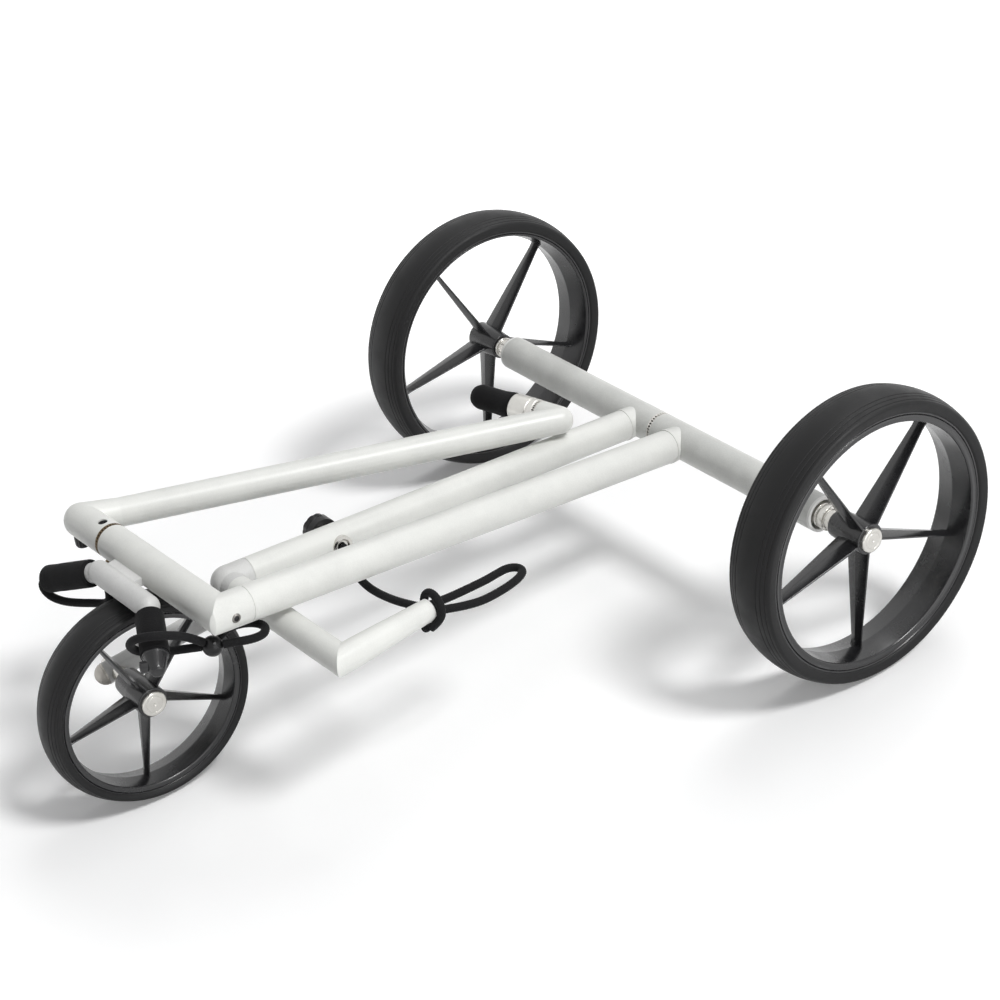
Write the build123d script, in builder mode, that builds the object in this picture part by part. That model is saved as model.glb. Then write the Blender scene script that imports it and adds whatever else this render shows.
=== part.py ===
"""Three-wheeled golf push trolley, folded for carrying, standing on its wheels.

+X is to the right, the front wheel is towards -Y, +Z is up, and the floor is z = 0.
The axle is split in the middle by a toothed coupling. Its right half carries the main
tube, the cross tube, the bag bracket and the folded handle. Its left half carries the
front tube, the support arm and the strut of the front wheel. Sizes are in millimetres.
"""
from build123d import *
from math import cos, pi, radians, sin, tan
import os

os.makedirs("parts", exist_ok=True)

# ---------------------------------------------------------------- driving dimensions
REAR_WHEEL_R = 145.0
FRONT_WHEEL_R = 104.3
WHEELBASE = 594.5
REAR_WHEEL_X = 298.3     # centre plane of a rear wheel
FRONT_WHEEL_X = -28.3

AXLE_R = 18.0
MAIN_R = 17.0            # main tube, cross tube and their corner
FRONT_R = 16.0
HANDLE_R = 14.2
SUPPORT_R = 13.5
ARM_END_R = 10.5
BRACKET_R = 11.0
STRUT_R = 11.0
CORD_R = 4.0
WALL = 2.0               # of every tube

AXLE_HALF = 246.0        # from the middle of the trolley to an open end of the axle
FOLD_X = 7.0             # plane of the axle's coupling
GAP = 0.4                # between the crests of two facing toothed rings
RUN = 0.05               # radial clearance of a pin in its bearing or bush
SEAT = 0.02              # radial clearance of a piece pressed into another

# The origin is below the middle of the outline, so the axle sits this far back.
AXLE_Y = (WHEELBASE + FRONT_WHEEL_R - REAR_WHEEL_R) / 2
AXLE_Z = REAR_WHEEL_R


def spot(x, ahead, z):
    """A point, given by its distance ahead of the rear axle."""
    return Vector(x, AXLE_Y - ahead, z)


# Centre lines of the frame.
MAIN_REAR = spot(41, 0, AXLE_Z)
MAIN_FRONT = spot(76.5, 551.7, 224)
CROSS_END = spot(-160.3, 563.2, 224)
HANDLE_END = spot(-27, 100, 186)
FRONT_REAR = spot(-27, 0, AXLE_Z)
FRONT_END = spot(-27, 490, 180)
SUPPORT_END = spot(157, 483, 180)
ARM_END = spot(150, 385.5, 181)
BRACKET_LEFT = spot(-66, 594, 223)
BRACKET_RIGHT = spot(18, 590, 223)
FRONT_HUB = spot(FRONT_WHEEL_X, WHEELBASE, FRONT_WHEEL_R)
STRUT_AXLE = spot(-88, WHEELBASE, FRONT_WHEEL_R)
STRUT_REAR = spot(-60.5, 378, 140)

MAIN_DIR = (MAIN_FRONT - MAIN_REAR).normalized()
CROSS_DIR = (CROSS_END - MAIN_FRONT).normalized()
HANDLE_DIR = (HANDLE_END - CROSS_END).normalized()
GRIP_DIR = Vector(-0.970, -0.241, 0).normalized()
FRONT_DIR = (FRONT_END - FRONT_REAR).normalized()
SUPPORT_DIR = (SUPPORT_END - FRONT_END).normalized()
ARM_DIR = (ARM_END - SUPPORT_END).normalized()
STRUT_DIR = (STRUT_REAR - STRUT_AXLE).normalized()
RIGHT = Vector(1, 0, 0)
LEFT = Vector(-1, 0, 0)
UP = Vector(0, 0, 1)

# The strut's bolt crosses the front tube here.
BOLT_AHEAD = 374
BOLT = FRONT_REAR + FRONT_DIR * (BOLT_AHEAD / -FRONT_DIR.Y)

# Distances along a tube from the corner it starts at.
CORNER_LEG = 28.0        # corner piece along the main tube
CROSS_LEG = 17.5         # corner piece along the cross tube
CROSS_COUPLING = 56.5    # handle coupling, from the end of the cross tube
ELBOW_LEG = 36.0         # elbow along the handle
GRIP_COUPLING = 25.4     # grip coupling, from the handle's corner
GRIP_COLLAR_END = 57.0
GRIP_END = 110.5
FRONT_ELBOW_LEG = 22.0


# ---------------------------------------------------------------------- shared forms
def at(origin, facing):
    """The plane through a point, square to a direction."""
    return Plane(origin=origin, z_dir=facing)


def ring(plane, radius, bore=0.0):
    """A disc, or the section of a tube, on a plane."""
    with BuildSketch(plane) as section:
        Circle(radius)
        if bore:
            Circle(bore, mode=Mode.SUBTRACT)
    return section.sketch


def run_of(start, end, radius, bore=0.0, mode=Mode.ADD):
    """Adds a straight bar or tube to the part being built."""
    extrude(ring(at(start, end - start), radius, bore), amount=(end - start).length, mode=mode)


def ball_at(centre, radius, mode=Mode.ADD):
    """Adds a ball to the part being built."""
    with Locations(centre):
        Sphere(radius, mode=mode)


def mitred_corner(corner, first, first_leg, second, second_leg, radius, ball):
    """Two legs that meet in a mitre, with its outer point rounded by a ball."""
    near = radius / 2
    with BuildPart() as room:
        ball_at(corner, ball)
        run_of(corner + first * near, corner + first * first_leg, radius + 3)
        run_of(corner + second * near, corner + second * second_leg, radius + 3)
    with BuildPart() as piece:
        with BuildLine() as bend:
            Polyline(corner + first * first_leg, corner, corner + second * second_leg)
        sweep(ring(at(bend.line @ 0, first * -1), radius), path=bend.line, transition=Transition.RIGHT)
        add(room.part, mode=Mode.INTERSECT)
    return piece.part


TEETH = 36
TOOTH = 1.5              # depth of the teeth
FLANGE = 0.6             # thickness of the ring that carries them
FLANGE_BACK = GAP / 2 + TOOTH + FLANGE


def toothed_ring(centre, facing, radius, bore):
    """A face coupling. Its crests lie half a gap short of centre, and face along facing."""
    crest = centre - facing * (GAP / 2)
    root = crest - facing * TOOTH
    half = radians(360 / TEETH / 4)
    far = 2 * radius
    with BuildPart() as piece:
        extrude(ring(at(root, facing * -1), radius, bore), amount=FLANGE)
        with BuildSketch(at(root, facing)) as teeth:
            Circle(radius - 0.3)
            with PolarLocations(0, TEETH):
                Polygon((0, 0), (far, far * tan(half)), (far, -far * tan(half)), align=None,
                        mode=Mode.SUBTRACT)
            if bore:
                Circle(bore, mode=Mode.SUBTRACT)
        extrude(amount=TOOTH)
    return piece.part


# ------------------------------------------------------------------------ rear axle
PIVOT_R = 11.0           # pin that joins the axle's halves
PIVOT_REACH = 36.0       # of the pin, into each half
PLUG = 30.0              # length of a coupling's plug inside the tube
END_RING = 3.0           # thickness of the ring over the tube's open end


def axle_tube(side, start):
    """One half of the axle, from its coupling to its open end."""
    with BuildPart() as tube:
        run_of(start, Vector(side * (AXLE_HALF - END_RING), AXLE_Y, AXLE_Z), AXLE_R, AXLE_R - WALL)
    return tube


def axle_coupling(facing, bore):
    """A toothed ring with the plug that holds it in the axle tube."""
    centre = Vector(FOLD_X, AXLE_Y, AXLE_Z)
    back = centre - facing * FLANGE_BACK
    with BuildPart() as coupling:
        add(toothed_ring(centre, facing, AXLE_R, bore))
        run_of(back, back - facing * PLUG, AXLE_R - WALL - SEAT, bore)
    return coupling


for side, name, facing in ((1, "right", LEFT), (-1, "left", RIGHT)):
    start = Vector(FOLD_X + side * FLANGE_BACK, AXLE_Y, AXLE_Z)
    tube = axle_tube(side, start)
    tube.part.label = f"axle_tube_{name}"
    export_step(tube.part, f"parts/axle_tube_{name}.step")

    bore = PIVOT_R + (RUN if name == "right" else SEAT)
    coupling = axle_coupling(facing, bore)
    coupling.part.label = f"axle_coupling_{name}"
    export_step(coupling.part, f"parts/axle_coupling_{name}.step")

with BuildPart() as axle_pivot:
    with BuildSketch(at(Vector(FOLD_X - PIVOT_REACH, AXLE_Y, AXLE_Z), RIGHT)):
        Circle(PIVOT_R)
    extrude(amount=2 * PIVOT_REACH)
    chamfer(axle_pivot.edges().filter_by(GeomType.CIRCLE), length=1.5)
axle_pivot.part.label = "axle_pivot"
export_step(axle_pivot.part, "parts/axle_pivot.step")

# --------------------------------------------------------------------------- wheels
WHEEL_PIN_R = 5.0
BEARING_R = 9.5
BEARING_W = 5.0
STUB_R = 12.5
CAP_R = 12.5
CAP_T = 4.0
HUB_BORE_R = 7.0
SPOKES = 5


def wheel_plane(centre):
    """The plane across a wheel. It faces right, and its x axis points to the rear."""
    return Plane(origin=centre, x_dir=(0, 1, 0), z_dir=(1, 0, 0))


def wheel_section(centre):
    """The plane of a wheel's section: x is the distance from its axis, y runs along it."""
    return Plane(origin=centre, x_dir=(0, 1, 0), z_dir=(0, 0, -1))


def tyre(centre, outer, seat, rim_half, half, shoulder):
    """A solid tyre with a crowned tread and bulged walls, which clasp the rim's edges."""
    edge = outer - shoulder
    foot = rim_half + 0.1
    bulge = seat + (edge - seat) * 0.6
    with BuildPart() as tread:
        with BuildSketch(wheel_section(centre)):
            with BuildLine():
                Polyline((seat - 2, -foot), (seat + SEAT, -foot), (seat + SEAT, foot), (seat - 2, foot))
                ThreePointArc((seat - 2, foot), ((seat + bulge) / 2 - 1, half - 0.6), (bulge, half))
                ThreePointArc((bulge, half), (edge - 0.9, half - 0.5), (edge, half - 1.6))
                ThreePointArc((edge, half - 1.6), (outer, 0), (edge, -half + 1.6))
                ThreePointArc((edge, -half + 1.6), (edge - 0.9, -half + 0.5), (bulge, -half))
                ThreePointArc((bulge, -half), ((seat + bulge) / 2 - 1, -half + 0.6), (seat - 2, -foot))
            make_face()
        revolve(axis=Axis(centre, RIGHT))
    return tread


def spoke_section(wheel, angle, distance, width, depth, offset):
    """The section across a spoke, a blade set on edge with a ridge along each flank."""
    outward = wheel.x_dir * cos(radians(angle)) + wheel.y_dir * sin(radians(angle))
    centre = wheel.origin + outward * distance + wheel.z_dir * offset
    with BuildSketch(Plane(origin=centre, x_dir=wheel.z_dir, z_dir=outward)) as section:
        Polygon((-depth / 2, width / 8), (-depth / 2, -width / 8), (0, -width / 2),
                (depth / 2, -width / 8), (depth / 2, width / 8), (0, width / 2), align=None)
    return section.sketch


def rim(centre, side, seat, half, groove, lips, waist):
    """The rim of a wheel, thinnest at its lips, with a groove round each face."""
    outer, inner = lips
    section = [(seat, half), (groove + 0.6, half), (groove, half - 1.2), (groove - 0.6, half),
               (outer + 1, half), (outer, half - 1), (waist, 0), (inner, 1 - half), (inner + 1, -half),
               (groove - 0.6, -half), (groove, 1.2 - half), (groove + 0.6, -half), (seat, -half)]
    with BuildSketch(wheel_section(centre)) as profile:
        Polygon(*[(distance, side * along) for distance, along in section], align=None)
    return profile.sketch


def moulding(centre, side, rim_profile, waist, hub_in, hub_out, hub_r, phase, root, foot):
    """A moulded wheel: a rim, a hub, and ridged spokes that taper outwards.

    side is 1 or -1, the way the wheel's outer face looks. hub_in and hub_out are the
    hub's ends, measured that way from the wheel's centre plane.
    """
    hub_middle = (hub_in + hub_out) / 2
    wheel = wheel_plane(centre)
    outward = RIGHT * side
    with BuildPart() as piece:
        revolve(rim_profile, axis=Axis(centre, RIGHT))
        for spoke in range(SPOKES):
            angle = phase + spoke * 360 / SPOKES
            loft([spoke_section(wheel, angle, hub_r * 0.6, *root, side * hub_middle / 3),
                  spoke_section(wheel, angle, waist + 4, *foot, 0)], ruled=True)
        with BuildSketch(wheel_section(centre)):
            Polygon((0, side * hub_in), (hub_r - 2, side * hub_in), (hub_r, side * hub_middle),
                    (hub_r, side * (hub_out - 1)), (hub_r - 1, side * hub_out), (0, side * hub_out),
                    align=None)
        revolve(axis=Axis(centre, RIGHT))
        run_of(centre + outward * (hub_in - 1), centre + outward * (hub_out + 1), HUB_BORE_R,
               mode=Mode.SUBTRACT)
        for end, inward in ((hub_in, 1), (hub_out, -1)):
            run_of(centre + outward * end, centre + outward * (end + inward * BEARING_W), BEARING_R,
                   mode=Mode.SUBTRACT)
    return piece


def bearings(centre, side, hub_in, hub_out):
    """The two ball bearings of a hub, each as one plain race."""
    outward = RIGHT * side
    with BuildPart() as pair:
        for end, inward in ((hub_in, 1), (hub_out, -1)):
            run_of(centre + outward * end, centre + outward * (end + inward * (BEARING_W - SEAT)),
                   BEARING_R - SEAT, WHEEL_PIN_R + RUN)
    return pair


def hub_cap(centre, side, hub_out):
    """The steel disc that closes the outer end of a hub."""
    outward = RIGHT * side
    with BuildPart() as cap:
        run_of(centre + outward * hub_out, centre + outward * (hub_out + CAP_T), CAP_R)
        chamfer(cap.edges().sort_by(Axis.X)[-1 if side > 0 else 0], length=1)
    return cap


REAR_SEAT = 131.0
FRONT_SEAT = 93.5
REAR_HUB = (-31.9, 11.1)
FRONT_HUB_ENDS = (-33.7, 16.3)
REAR_TYRE = (26.85, 4.7)
FRONT_TYRE = (21.5, 5.9)
REAR_SPOKE = ((8.5, 29), (4.5, 12))
FRONT_SPOKE = ((8, 25), (4, 9))
WHEELS = {
    # name: centre, side, radius, seat, tyre half width and shoulder, rim half width,
    #       groove, outer and inner lip, waist, hub ends, hub radius, first spoke's angle,
    #       width and depth of a spoke at the hub and at the rim
    "rear_right": (spot(REAR_WHEEL_X, 0, AXLE_Z), 1, REAR_WHEEL_R, REAR_SEAT, REAR_TYRE, 24.0,
                   127.2, (120, 124), 118.5, REAR_HUB, 15.5, 48.0, REAR_SPOKE),
    "rear_left": (spot(-REAR_WHEEL_X, 0, AXLE_Z), -1, REAR_WHEEL_R, REAR_SEAT, REAR_TYRE, 24.0,
                  127.2, (120, 124), 118.5, REAR_HUB, 15.5, 46.5, REAR_SPOKE),
    "front": (FRONT_HUB, 1, FRONT_WHEEL_R, FRONT_SEAT, FRONT_TYRE, 19.0,
              90.6, (85, 88.2), 83.5, FRONT_HUB_ENDS, 15.0, 43.0, FRONT_SPOKE),
}
for name, spec in WHEELS.items():
    centre, side, radius, seat, shape, half, groove, lips, waist, hub, hub_r, phase, spoke = spec

    profile = rim(centre, side, seat, half, groove, lips, waist)
    wheel = moulding(centre, side, profile, waist, *hub, hub_r, phase, *spoke)
    wheel.part.label = f"wheel_{name}"
    export_step(wheel.part, f"parts/wheel_{name}.step")

    rubber = tyre(centre, radius, seat, half, *shape)
    rubber.part.label = f"tyre_{name}"
    export_step(rubber.part, f"parts/tyre_{name}.step")

    pair = bearings(centre, side, *hub)
    pair.part.label = f"bearings_{name}"
    export_step(pair.part, f"parts/bearings_{name}.step")

    cap = hub_cap(centre, side, hub[1])
    cap.part.label = f"hub_cap_{name}"
    export_step(cap.part, f"parts/hub_cap_{name}.step")

# ------------------------------------------------------ fittings at the axle's ends
END_SLEEVE = 10.0
END_BORE = 15.0
STUB_SHOULDER = REAR_WHEEL_X + REAR_HUB[0] - GAP
STUB_ROOT = 206.0
STUB_SEAT = AXLE_HALF - 16.0
COLLAR_AT = 257.0        # from here out the stub is turned down, with a ring at its end
PIN_END = REAR_WHEEL_X + REAR_HUB[1] - 2

for side, name in ((1, "right"), (-1, "left")):
    outward = RIGHT * side
    middle = Vector(0, AXLE_Y, AXLE_Z)
    tube_end = middle + outward * AXLE_HALF
    inner_r = AXLE_R - WALL - SEAT
    ring_start = tube_end - outward * END_RING
    with BuildPart() as end_ring:
        run_of(ring_start, tube_end, AXLE_R, END_BORE)
        run_of(ring_start - outward * END_SLEEVE, ring_start, inner_r, END_BORE)
    end_ring.part.label = f"axle_end_ring_{name}"
    export_step(end_ring.part, f"parts/axle_end_ring_{name}.step")

    with BuildPart() as stub:
        run_of(middle + outward * STUB_ROOT, middle + outward * STUB_SEAT, inner_r)
        run_of(middle + outward * STUB_SEAT, middle + outward * COLLAR_AT, STUB_R)
        run_of(middle + outward * COLLAR_AT, middle + outward * STUB_SHOULDER, STUB_R - 2.5)
        run_of(middle + outward * (STUB_SHOULDER - 4), middle + outward * (STUB_SHOULDER - 1), STUB_R - 1)
        run_of(middle + outward * STUB_SHOULDER, middle + outward * PIN_END, WHEEL_PIN_R)
    stub.part.label = f"wheel_axle_{name}"
    export_step(stub.part, f"parts/wheel_axle_{name}.step")

# ------------------------------------------------------------------------ main frame
BEAD = 0.6               # height of the weld ring where a tube meets the axle
BEAD_AT = 19.0
BEAD_W = 3.0


def coped_tube(start, end, radius):
    """A tube whose rear end is cut to sit on the axle, with a weld ring beside it."""
    along = (end - start).normalized()
    with BuildPart() as tube:
        run_of(start, end, radius)
        run_of(start + along * BEAD_AT, start + along * (BEAD_AT + BEAD_W), radius + BEAD)
        run_of(start, end, radius - WALL, mode=Mode.SUBTRACT)
        run_of(start - RIGHT * 3 * radius, start + RIGHT * 3 * radius, AXLE_R, mode=Mode.SUBTRACT)
    return tube


main_tube = coped_tube(MAIN_REAR, MAIN_FRONT - MAIN_DIR * CORNER_LEG, MAIN_R)
main_tube.part.label = "main_tube"
export_step(main_tube.part, "parts/main_tube.step")

CORNER_BALL = 21.5
SEAM_CHAMFER = 0.6       # where a corner piece meets its tube
SCREW_R = 4.5
SCREW_HEAD = 2.0
SCREW_AT = MAIN_FRONT - MAIN_DIR * 9 + RIGHT * (MAIN_R - 1.2)
with BuildPart() as main_corner:
    add(mitred_corner(MAIN_FRONT, MAIN_DIR * -1, CORNER_LEG, CROSS_DIR, CROSS_LEG, MAIN_R, CORNER_BALL))
    chamfer(main_corner.faces().sort_by(Axis(MAIN_FRONT, MAIN_DIR))[0].edges(), length=SEAM_CHAMFER)
    run_of(SCREW_AT, SCREW_AT + RIGHT * MAIN_R, SCREW_R + SEAT, mode=Mode.SUBTRACT)
main_corner.part.label = "main_corner"
export_step(main_corner.part, "parts/main_corner.step")

with BuildPart() as corner_screw:
    run_of(SCREW_AT, SCREW_AT + RIGHT * SCREW_HEAD, SCREW_R)
    with BuildSketch(at(SCREW_AT + RIGHT * SCREW_HEAD, RIGHT)):
        RegularPolygon(2.2, 6)
    extrude(amount=-1.5, mode=Mode.SUBTRACT)
corner_screw.part.label = "corner_screw"
export_step(corner_screw.part, "parts/corner_screw.step")

CROSS_SEAM = CROSS_END - CROSS_DIR * CROSS_COUPLING
SPIGOT_R = 8.0           # of the handle's coupling, which turns in the cross tube's
SPIGOT_REACH = 22.0
CROSS_BACK = CROSS_SEAM - CROSS_DIR * FLANGE_BACK
with BuildPart() as cross_tube:
    run_of(MAIN_FRONT + CROSS_DIR * CROSS_LEG, CROSS_BACK, MAIN_R, MAIN_R - WALL)
cross_tube.part.label = "cross_tube"
export_step(cross_tube.part, "parts/cross_tube.step")

with BuildPart() as cross_coupling:
    add(toothed_ring(CROSS_SEAM, CROSS_DIR, MAIN_R, SPIGOT_R + RUN))
    run_of(CROSS_BACK, CROSS_BACK - CROSS_DIR * (SPIGOT_REACH - 2), MAIN_R - WALL - SEAT, SPIGOT_R + RUN)
cross_coupling.part.label = "cross_coupling"
export_step(cross_coupling.part, "parts/cross_coupling.step")

CATCH_R = 3.2
CATCH_LENGTH = 13.0
CATCH_AT = CROSS_BACK - CROSS_DIR + Vector(0, -0.35, -0.94) * (MAIN_R + CATCH_R / 2)
with BuildPart() as coupling_catch:
    run_of(CATCH_AT, CATCH_AT - CROSS_DIR * CATCH_LENGTH, CATCH_R)
    chamfer(coupling_catch.edges().filter_by(GeomType.CIRCLE), length=0.8)
    run_of(MAIN_FRONT, CROSS_END, MAIN_R + SEAT, mode=Mode.SUBTRACT)
coupling_catch.part.label = "coupling_catch"
export_step(coupling_catch.part, "parts/coupling_catch.step")

# ---------------------------------------------------------------------- bag bracket
BRACKET_ARM_R = 9.5
SLEEVE_R = 13.0
SLEEVE_START = 10.0
WEB_LEFT = -72.0         # flat web between the bracket's bar and the cross tube
WEB_RIGHT = -22.0
WEB_T = 8.0
SPLAY = {"left": Vector(-0.84, -0.40, -0.30).normalized(), "right": Vector(0.84, -0.40, -0.30).normalized()}
BRACKET_ARMS = {
    # name: base, length of the arm, end of its sleeve, rounding of the sleeve's end
    "left": (BRACKET_LEFT, 64.0, 68.0, 5.0),
    "right": (BRACKET_RIGHT, 52.0, 56.0, 1.0),
}


def on_line(start, end, x):
    """The point of a line that has the given x, as a point of the plane seen from above."""
    point = start + (end - start) * ((x - start.X) / (end.X - start.X))
    return (point.X, point.Y)


with BuildPart() as bag_bracket:
    run_of(BRACKET_LEFT, BRACKET_RIGHT, BRACKET_R)
    for name, (base, arm_length, sleeve_end, rounding) in BRACKET_ARMS.items():
        ball_at(base, BRACKET_R)
        run_of(base, base + SPLAY[name] * arm_length, BRACKET_ARM_R)
    with BuildSketch(Plane(origin=(0, 0, BRACKET_LEFT.Z - WEB_T / 2))):
        Polygon(on_line(MAIN_FRONT, CROSS_END, WEB_LEFT), on_line(BRACKET_LEFT, BRACKET_RIGHT, WEB_LEFT + 6),
                on_line(BRACKET_LEFT, BRACKET_RIGHT, WEB_RIGHT),
                on_line(MAIN_FRONT, CROSS_END, WEB_RIGHT), align=None)
    extrude(amount=WEB_T)
    run_of(MAIN_FRONT, CROSS_END, MAIN_R, mode=Mode.SUBTRACT)
bag_bracket.part.label = "bag_bracket"
export_step(bag_bracket.part, "parts/bag_bracket.step")

for name, (base, arm_length, sleeve_end, rounding) in BRACKET_ARMS.items():
    start = base + SPLAY[name] * SLEEVE_START
    with BuildPart() as sleeve:
        run_of(start, base + SPLAY[name] * sleeve_end, SLEEVE_R)
        fillet(sleeve.faces().sort_by(Axis(base, SPLAY[name]))[-1].edges(), radius=rounding)
        run_of(start, base + SPLAY[name] * (arm_length + SEAT), BRACKET_ARM_R + SEAT, mode=Mode.SUBTRACT)
    sleeve.part.label = f"bracket_sleeve_{name}"
    export_step(sleeve.part, f"parts/bracket_sleeve_{name}.step")

# A tapered plug with a lug on it closes the right sleeve.
PLUG_BASE = BRACKET_RIGHT + SPLAY["right"] * BRACKET_ARMS["right"][2]
PLUG_LENGTH = 20.0
LUG_AT = PLUG_BASE + SPLAY["right"] * 10
LUG_DIR = Vector(-0.39, -0.92, 0)
with BuildPart() as sleeve_plug:
    with BuildSketch(Plane(origin=PLUG_BASE, x_dir=SPLAY["right"].cross(UP), z_dir=SPLAY["right"].cross(
            SPLAY["right"].cross(UP)) * -1)):
        Polygon((0, 0), (12, 0), (7, PLUG_LENGTH - 2), (5, PLUG_LENGTH), (0, PLUG_LENGTH), align=None)
    revolve(axis=Axis(PLUG_BASE, SPLAY["right"]))
    run_of(LUG_AT, LUG_AT + LUG_DIR * 15, 5.5)
sleeve_plug.part.label = "sleeve_plug"
export_step(sleeve_plug.part, "parts/sleeve_plug.step")

# --------------------------------------------------------------------------- handle
STUD_R = 4.0
STUD_LENGTH = 20.0
SOCKET_AT = CROSS_END - CROSS_DIR * 45.4
SOCKET_R = 4.5           # accessory socket, open at the top of the elbow
SOCKET_DEPTH = 12.0
KNOB_AT = CROSS_END + CROSS_DIR * 9.7
KNOB_STEM_R = 3.0
KNOB_R = 7.5
KNOB_TOP = 206.0
KNOB_H = 15.0
ELBOW_END = CROSS_END + HANDLE_DIR * ELBOW_LEG

CROSS_FACE = CROSS_SEAM + CROSS_DIR * FLANGE_BACK
with BuildPart() as handle_coupling:
    add(toothed_ring(CROSS_SEAM, CROSS_DIR * -1, MAIN_R, 0))
    run_of(CROSS_SEAM - CROSS_DIR * SPIGOT_REACH, CROSS_FACE, SPIGOT_R)
    run_of(CROSS_SEAM, CROSS_FACE + CROSS_DIR * STUD_LENGTH, STUD_R)
handle_coupling.part.label = "handle_coupling"
export_step(handle_coupling.part, "parts/handle_coupling.step")

with BuildPart() as handle_elbow:
    run_of(CROSS_FACE, CROSS_END, MAIN_R)
    ball_at(CROSS_END, MAIN_R)
    loft([ring(at(CROSS_END, HANDLE_DIR), MAIN_R), ring(at(ELBOW_END, HANDLE_DIR), HANDLE_R)])
    run_of(CROSS_FACE, CROSS_FACE + CROSS_DIR * (STUD_LENGTH + 1), STUD_R + SEAT, mode=Mode.SUBTRACT)
    run_of(ELBOW_END - HANDLE_DIR * 12, ELBOW_END, HANDLE_R - WALL, mode=Mode.SUBTRACT)
    run_of(SOCKET_AT + UP * (MAIN_R - SOCKET_DEPTH), SOCKET_AT + UP * (MAIN_R + 2), SOCKET_R,
           mode=Mode.SUBTRACT)
    run_of(KNOB_AT - UP * MAIN_R, KNOB_AT - UP * 8, KNOB_STEM_R + RUN, mode=Mode.SUBTRACT)
handle_elbow.part.label = "handle_elbow"
export_step(handle_elbow.part, "parts/handle_elbow.step")

with BuildPart() as handle_knob:
    with BuildSketch(Plane(origin=(KNOB_AT.X, KNOB_AT.Y, KNOB_TOP), x_dir=(1, 0, 0), z_dir=(0, -1, 0))):
        with BuildLine():
            Polyline((3, -KNOB_H), (0, -KNOB_H), (0, 9), (KNOB_STEM_R, 9), (KNOB_STEM_R, 0), (5, 0))
            ThreePointArc((5, 0), (6.77, -0.73), (KNOB_R, -2.5))
            Line((KNOB_R, -2.5), (KNOB_R, 3.5 - KNOB_H))
            ThreePointArc((KNOB_R, 3.5 - KNOB_H), (6.47, 1.03 - KNOB_H), (4, -KNOB_H))
            Line((4, -KNOB_H), (3, -KNOB_H))
        make_face()
    revolve(axis=Axis((KNOB_AT.X, KNOB_AT.Y, 0), (0, 0, 1)))
handle_knob.part.label = "handle_knob"
export_step(handle_knob.part, "parts/handle_knob.step")

GRIP_SEAM = HANDLE_END + GRIP_DIR * GRIP_COUPLING
GRIP_LEG_END = GRIP_SEAM - GRIP_DIR * FLANGE_BACK
GRIP_PLUG_R = 9.0
GRIP_PLUG = 13.0
GRIP_PIN_R = 6.0
with BuildPart() as handle_tube:
    run_of(ELBOW_END, HANDLE_END, HANDLE_R)
    ball_at(HANDLE_END, HANDLE_R)
    run_of(HANDLE_END, GRIP_LEG_END, HANDLE_R)
    run_of(ELBOW_END, HANDLE_END - HANDLE_DIR * 26, HANDLE_R - WALL, mode=Mode.SUBTRACT)
    run_of(GRIP_LEG_END - GRIP_DIR * (GRIP_PLUG + 1), GRIP_LEG_END, GRIP_PLUG_R + SEAT, mode=Mode.SUBTRACT)
handle_tube.part.label = "handle_tube"
export_step(handle_tube.part, "parts/handle_tube.step")

with BuildPart() as grip_coupling:
    add(toothed_ring(GRIP_SEAM, GRIP_DIR, HANDLE_R, GRIP_PIN_R + RUN))
    run_of(ELBOW_END, HANDLE_END, HANDLE_R + SEAT, mode=Mode.SUBTRACT)
    run_of(GRIP_LEG_END - GRIP_DIR * GRIP_PLUG, GRIP_LEG_END, GRIP_PLUG_R, GRIP_PIN_R + RUN)
grip_coupling.part.label = "grip_coupling"
export_step(grip_coupling.part, "parts/grip_coupling.step")

GRIP_CORE_R = 9.0
GRIP_CORE_START = 45.0
GRIP_CORE_END = 104.0
GRIP_R = 13.0
COLLAR_R = 14.5
with BuildPart() as grip_core:
    run_of(GRIP_LEG_END - GRIP_DIR * (GRIP_PLUG - 1), HANDLE_END + GRIP_DIR * GRIP_CORE_START, GRIP_PIN_R)
    run_of(HANDLE_END + GRIP_DIR * GRIP_CORE_START, HANDLE_END + GRIP_DIR * GRIP_CORE_END, GRIP_CORE_R)
grip_core.part.label = "grip_core"
export_step(grip_core.part, "parts/grip_core.step")

with BuildPart() as grip_collar:
    add(toothed_ring(GRIP_SEAM, GRIP_DIR * -1, HANDLE_R, GRIP_PIN_R + SEAT))
    run_of(GRIP_SEAM + GRIP_DIR * FLANGE_BACK, HANDLE_END + GRIP_DIR * GRIP_COLLAR_END, COLLAR_R,
           GRIP_PIN_R + SEAT)
    run_of(HANDLE_END + GRIP_DIR * GRIP_CORE_START, HANDLE_END + GRIP_DIR * GRIP_COLLAR_END,
           GRIP_CORE_R + SEAT, mode=Mode.SUBTRACT)
grip_collar.part.label = "grip_collar"
export_step(grip_collar.part, "parts/grip_collar.step")

with BuildPart() as grip_cover:
    with BuildSketch(Plane(origin=HANDLE_END, x_dir=UP, z_dir=GRIP_DIR.cross(UP) * -1)):
        with BuildLine():
            Polyline((GRIP_CORE_R + SEAT, GRIP_COLLAR_END), (COLLAR_R, GRIP_COLLAR_END),
                     (COLLAR_R, GRIP_COLLAR_END + 4))
            Spline((COLLAR_R, GRIP_COLLAR_END + 4), (GRIP_R, GRIP_COLLAR_END + 14), (GRIP_R, GRIP_END - 9))
            ThreePointArc((GRIP_R, GRIP_END - 9), (GRIP_R - 2.8, GRIP_END - 2.8), (GRIP_R - 9, GRIP_END))
            Polyline((GRIP_R - 9, GRIP_END), (0, GRIP_END), (0, GRIP_CORE_END),
                     (GRIP_CORE_R + SEAT, GRIP_CORE_END), (GRIP_CORE_R + SEAT, GRIP_COLLAR_END))
        make_face()
    revolve(axis=Axis(HANDLE_END, GRIP_DIR))
grip_cover.part.label = "grip_cover"
export_step(grip_cover.part, "parts/grip_cover.step")

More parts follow.
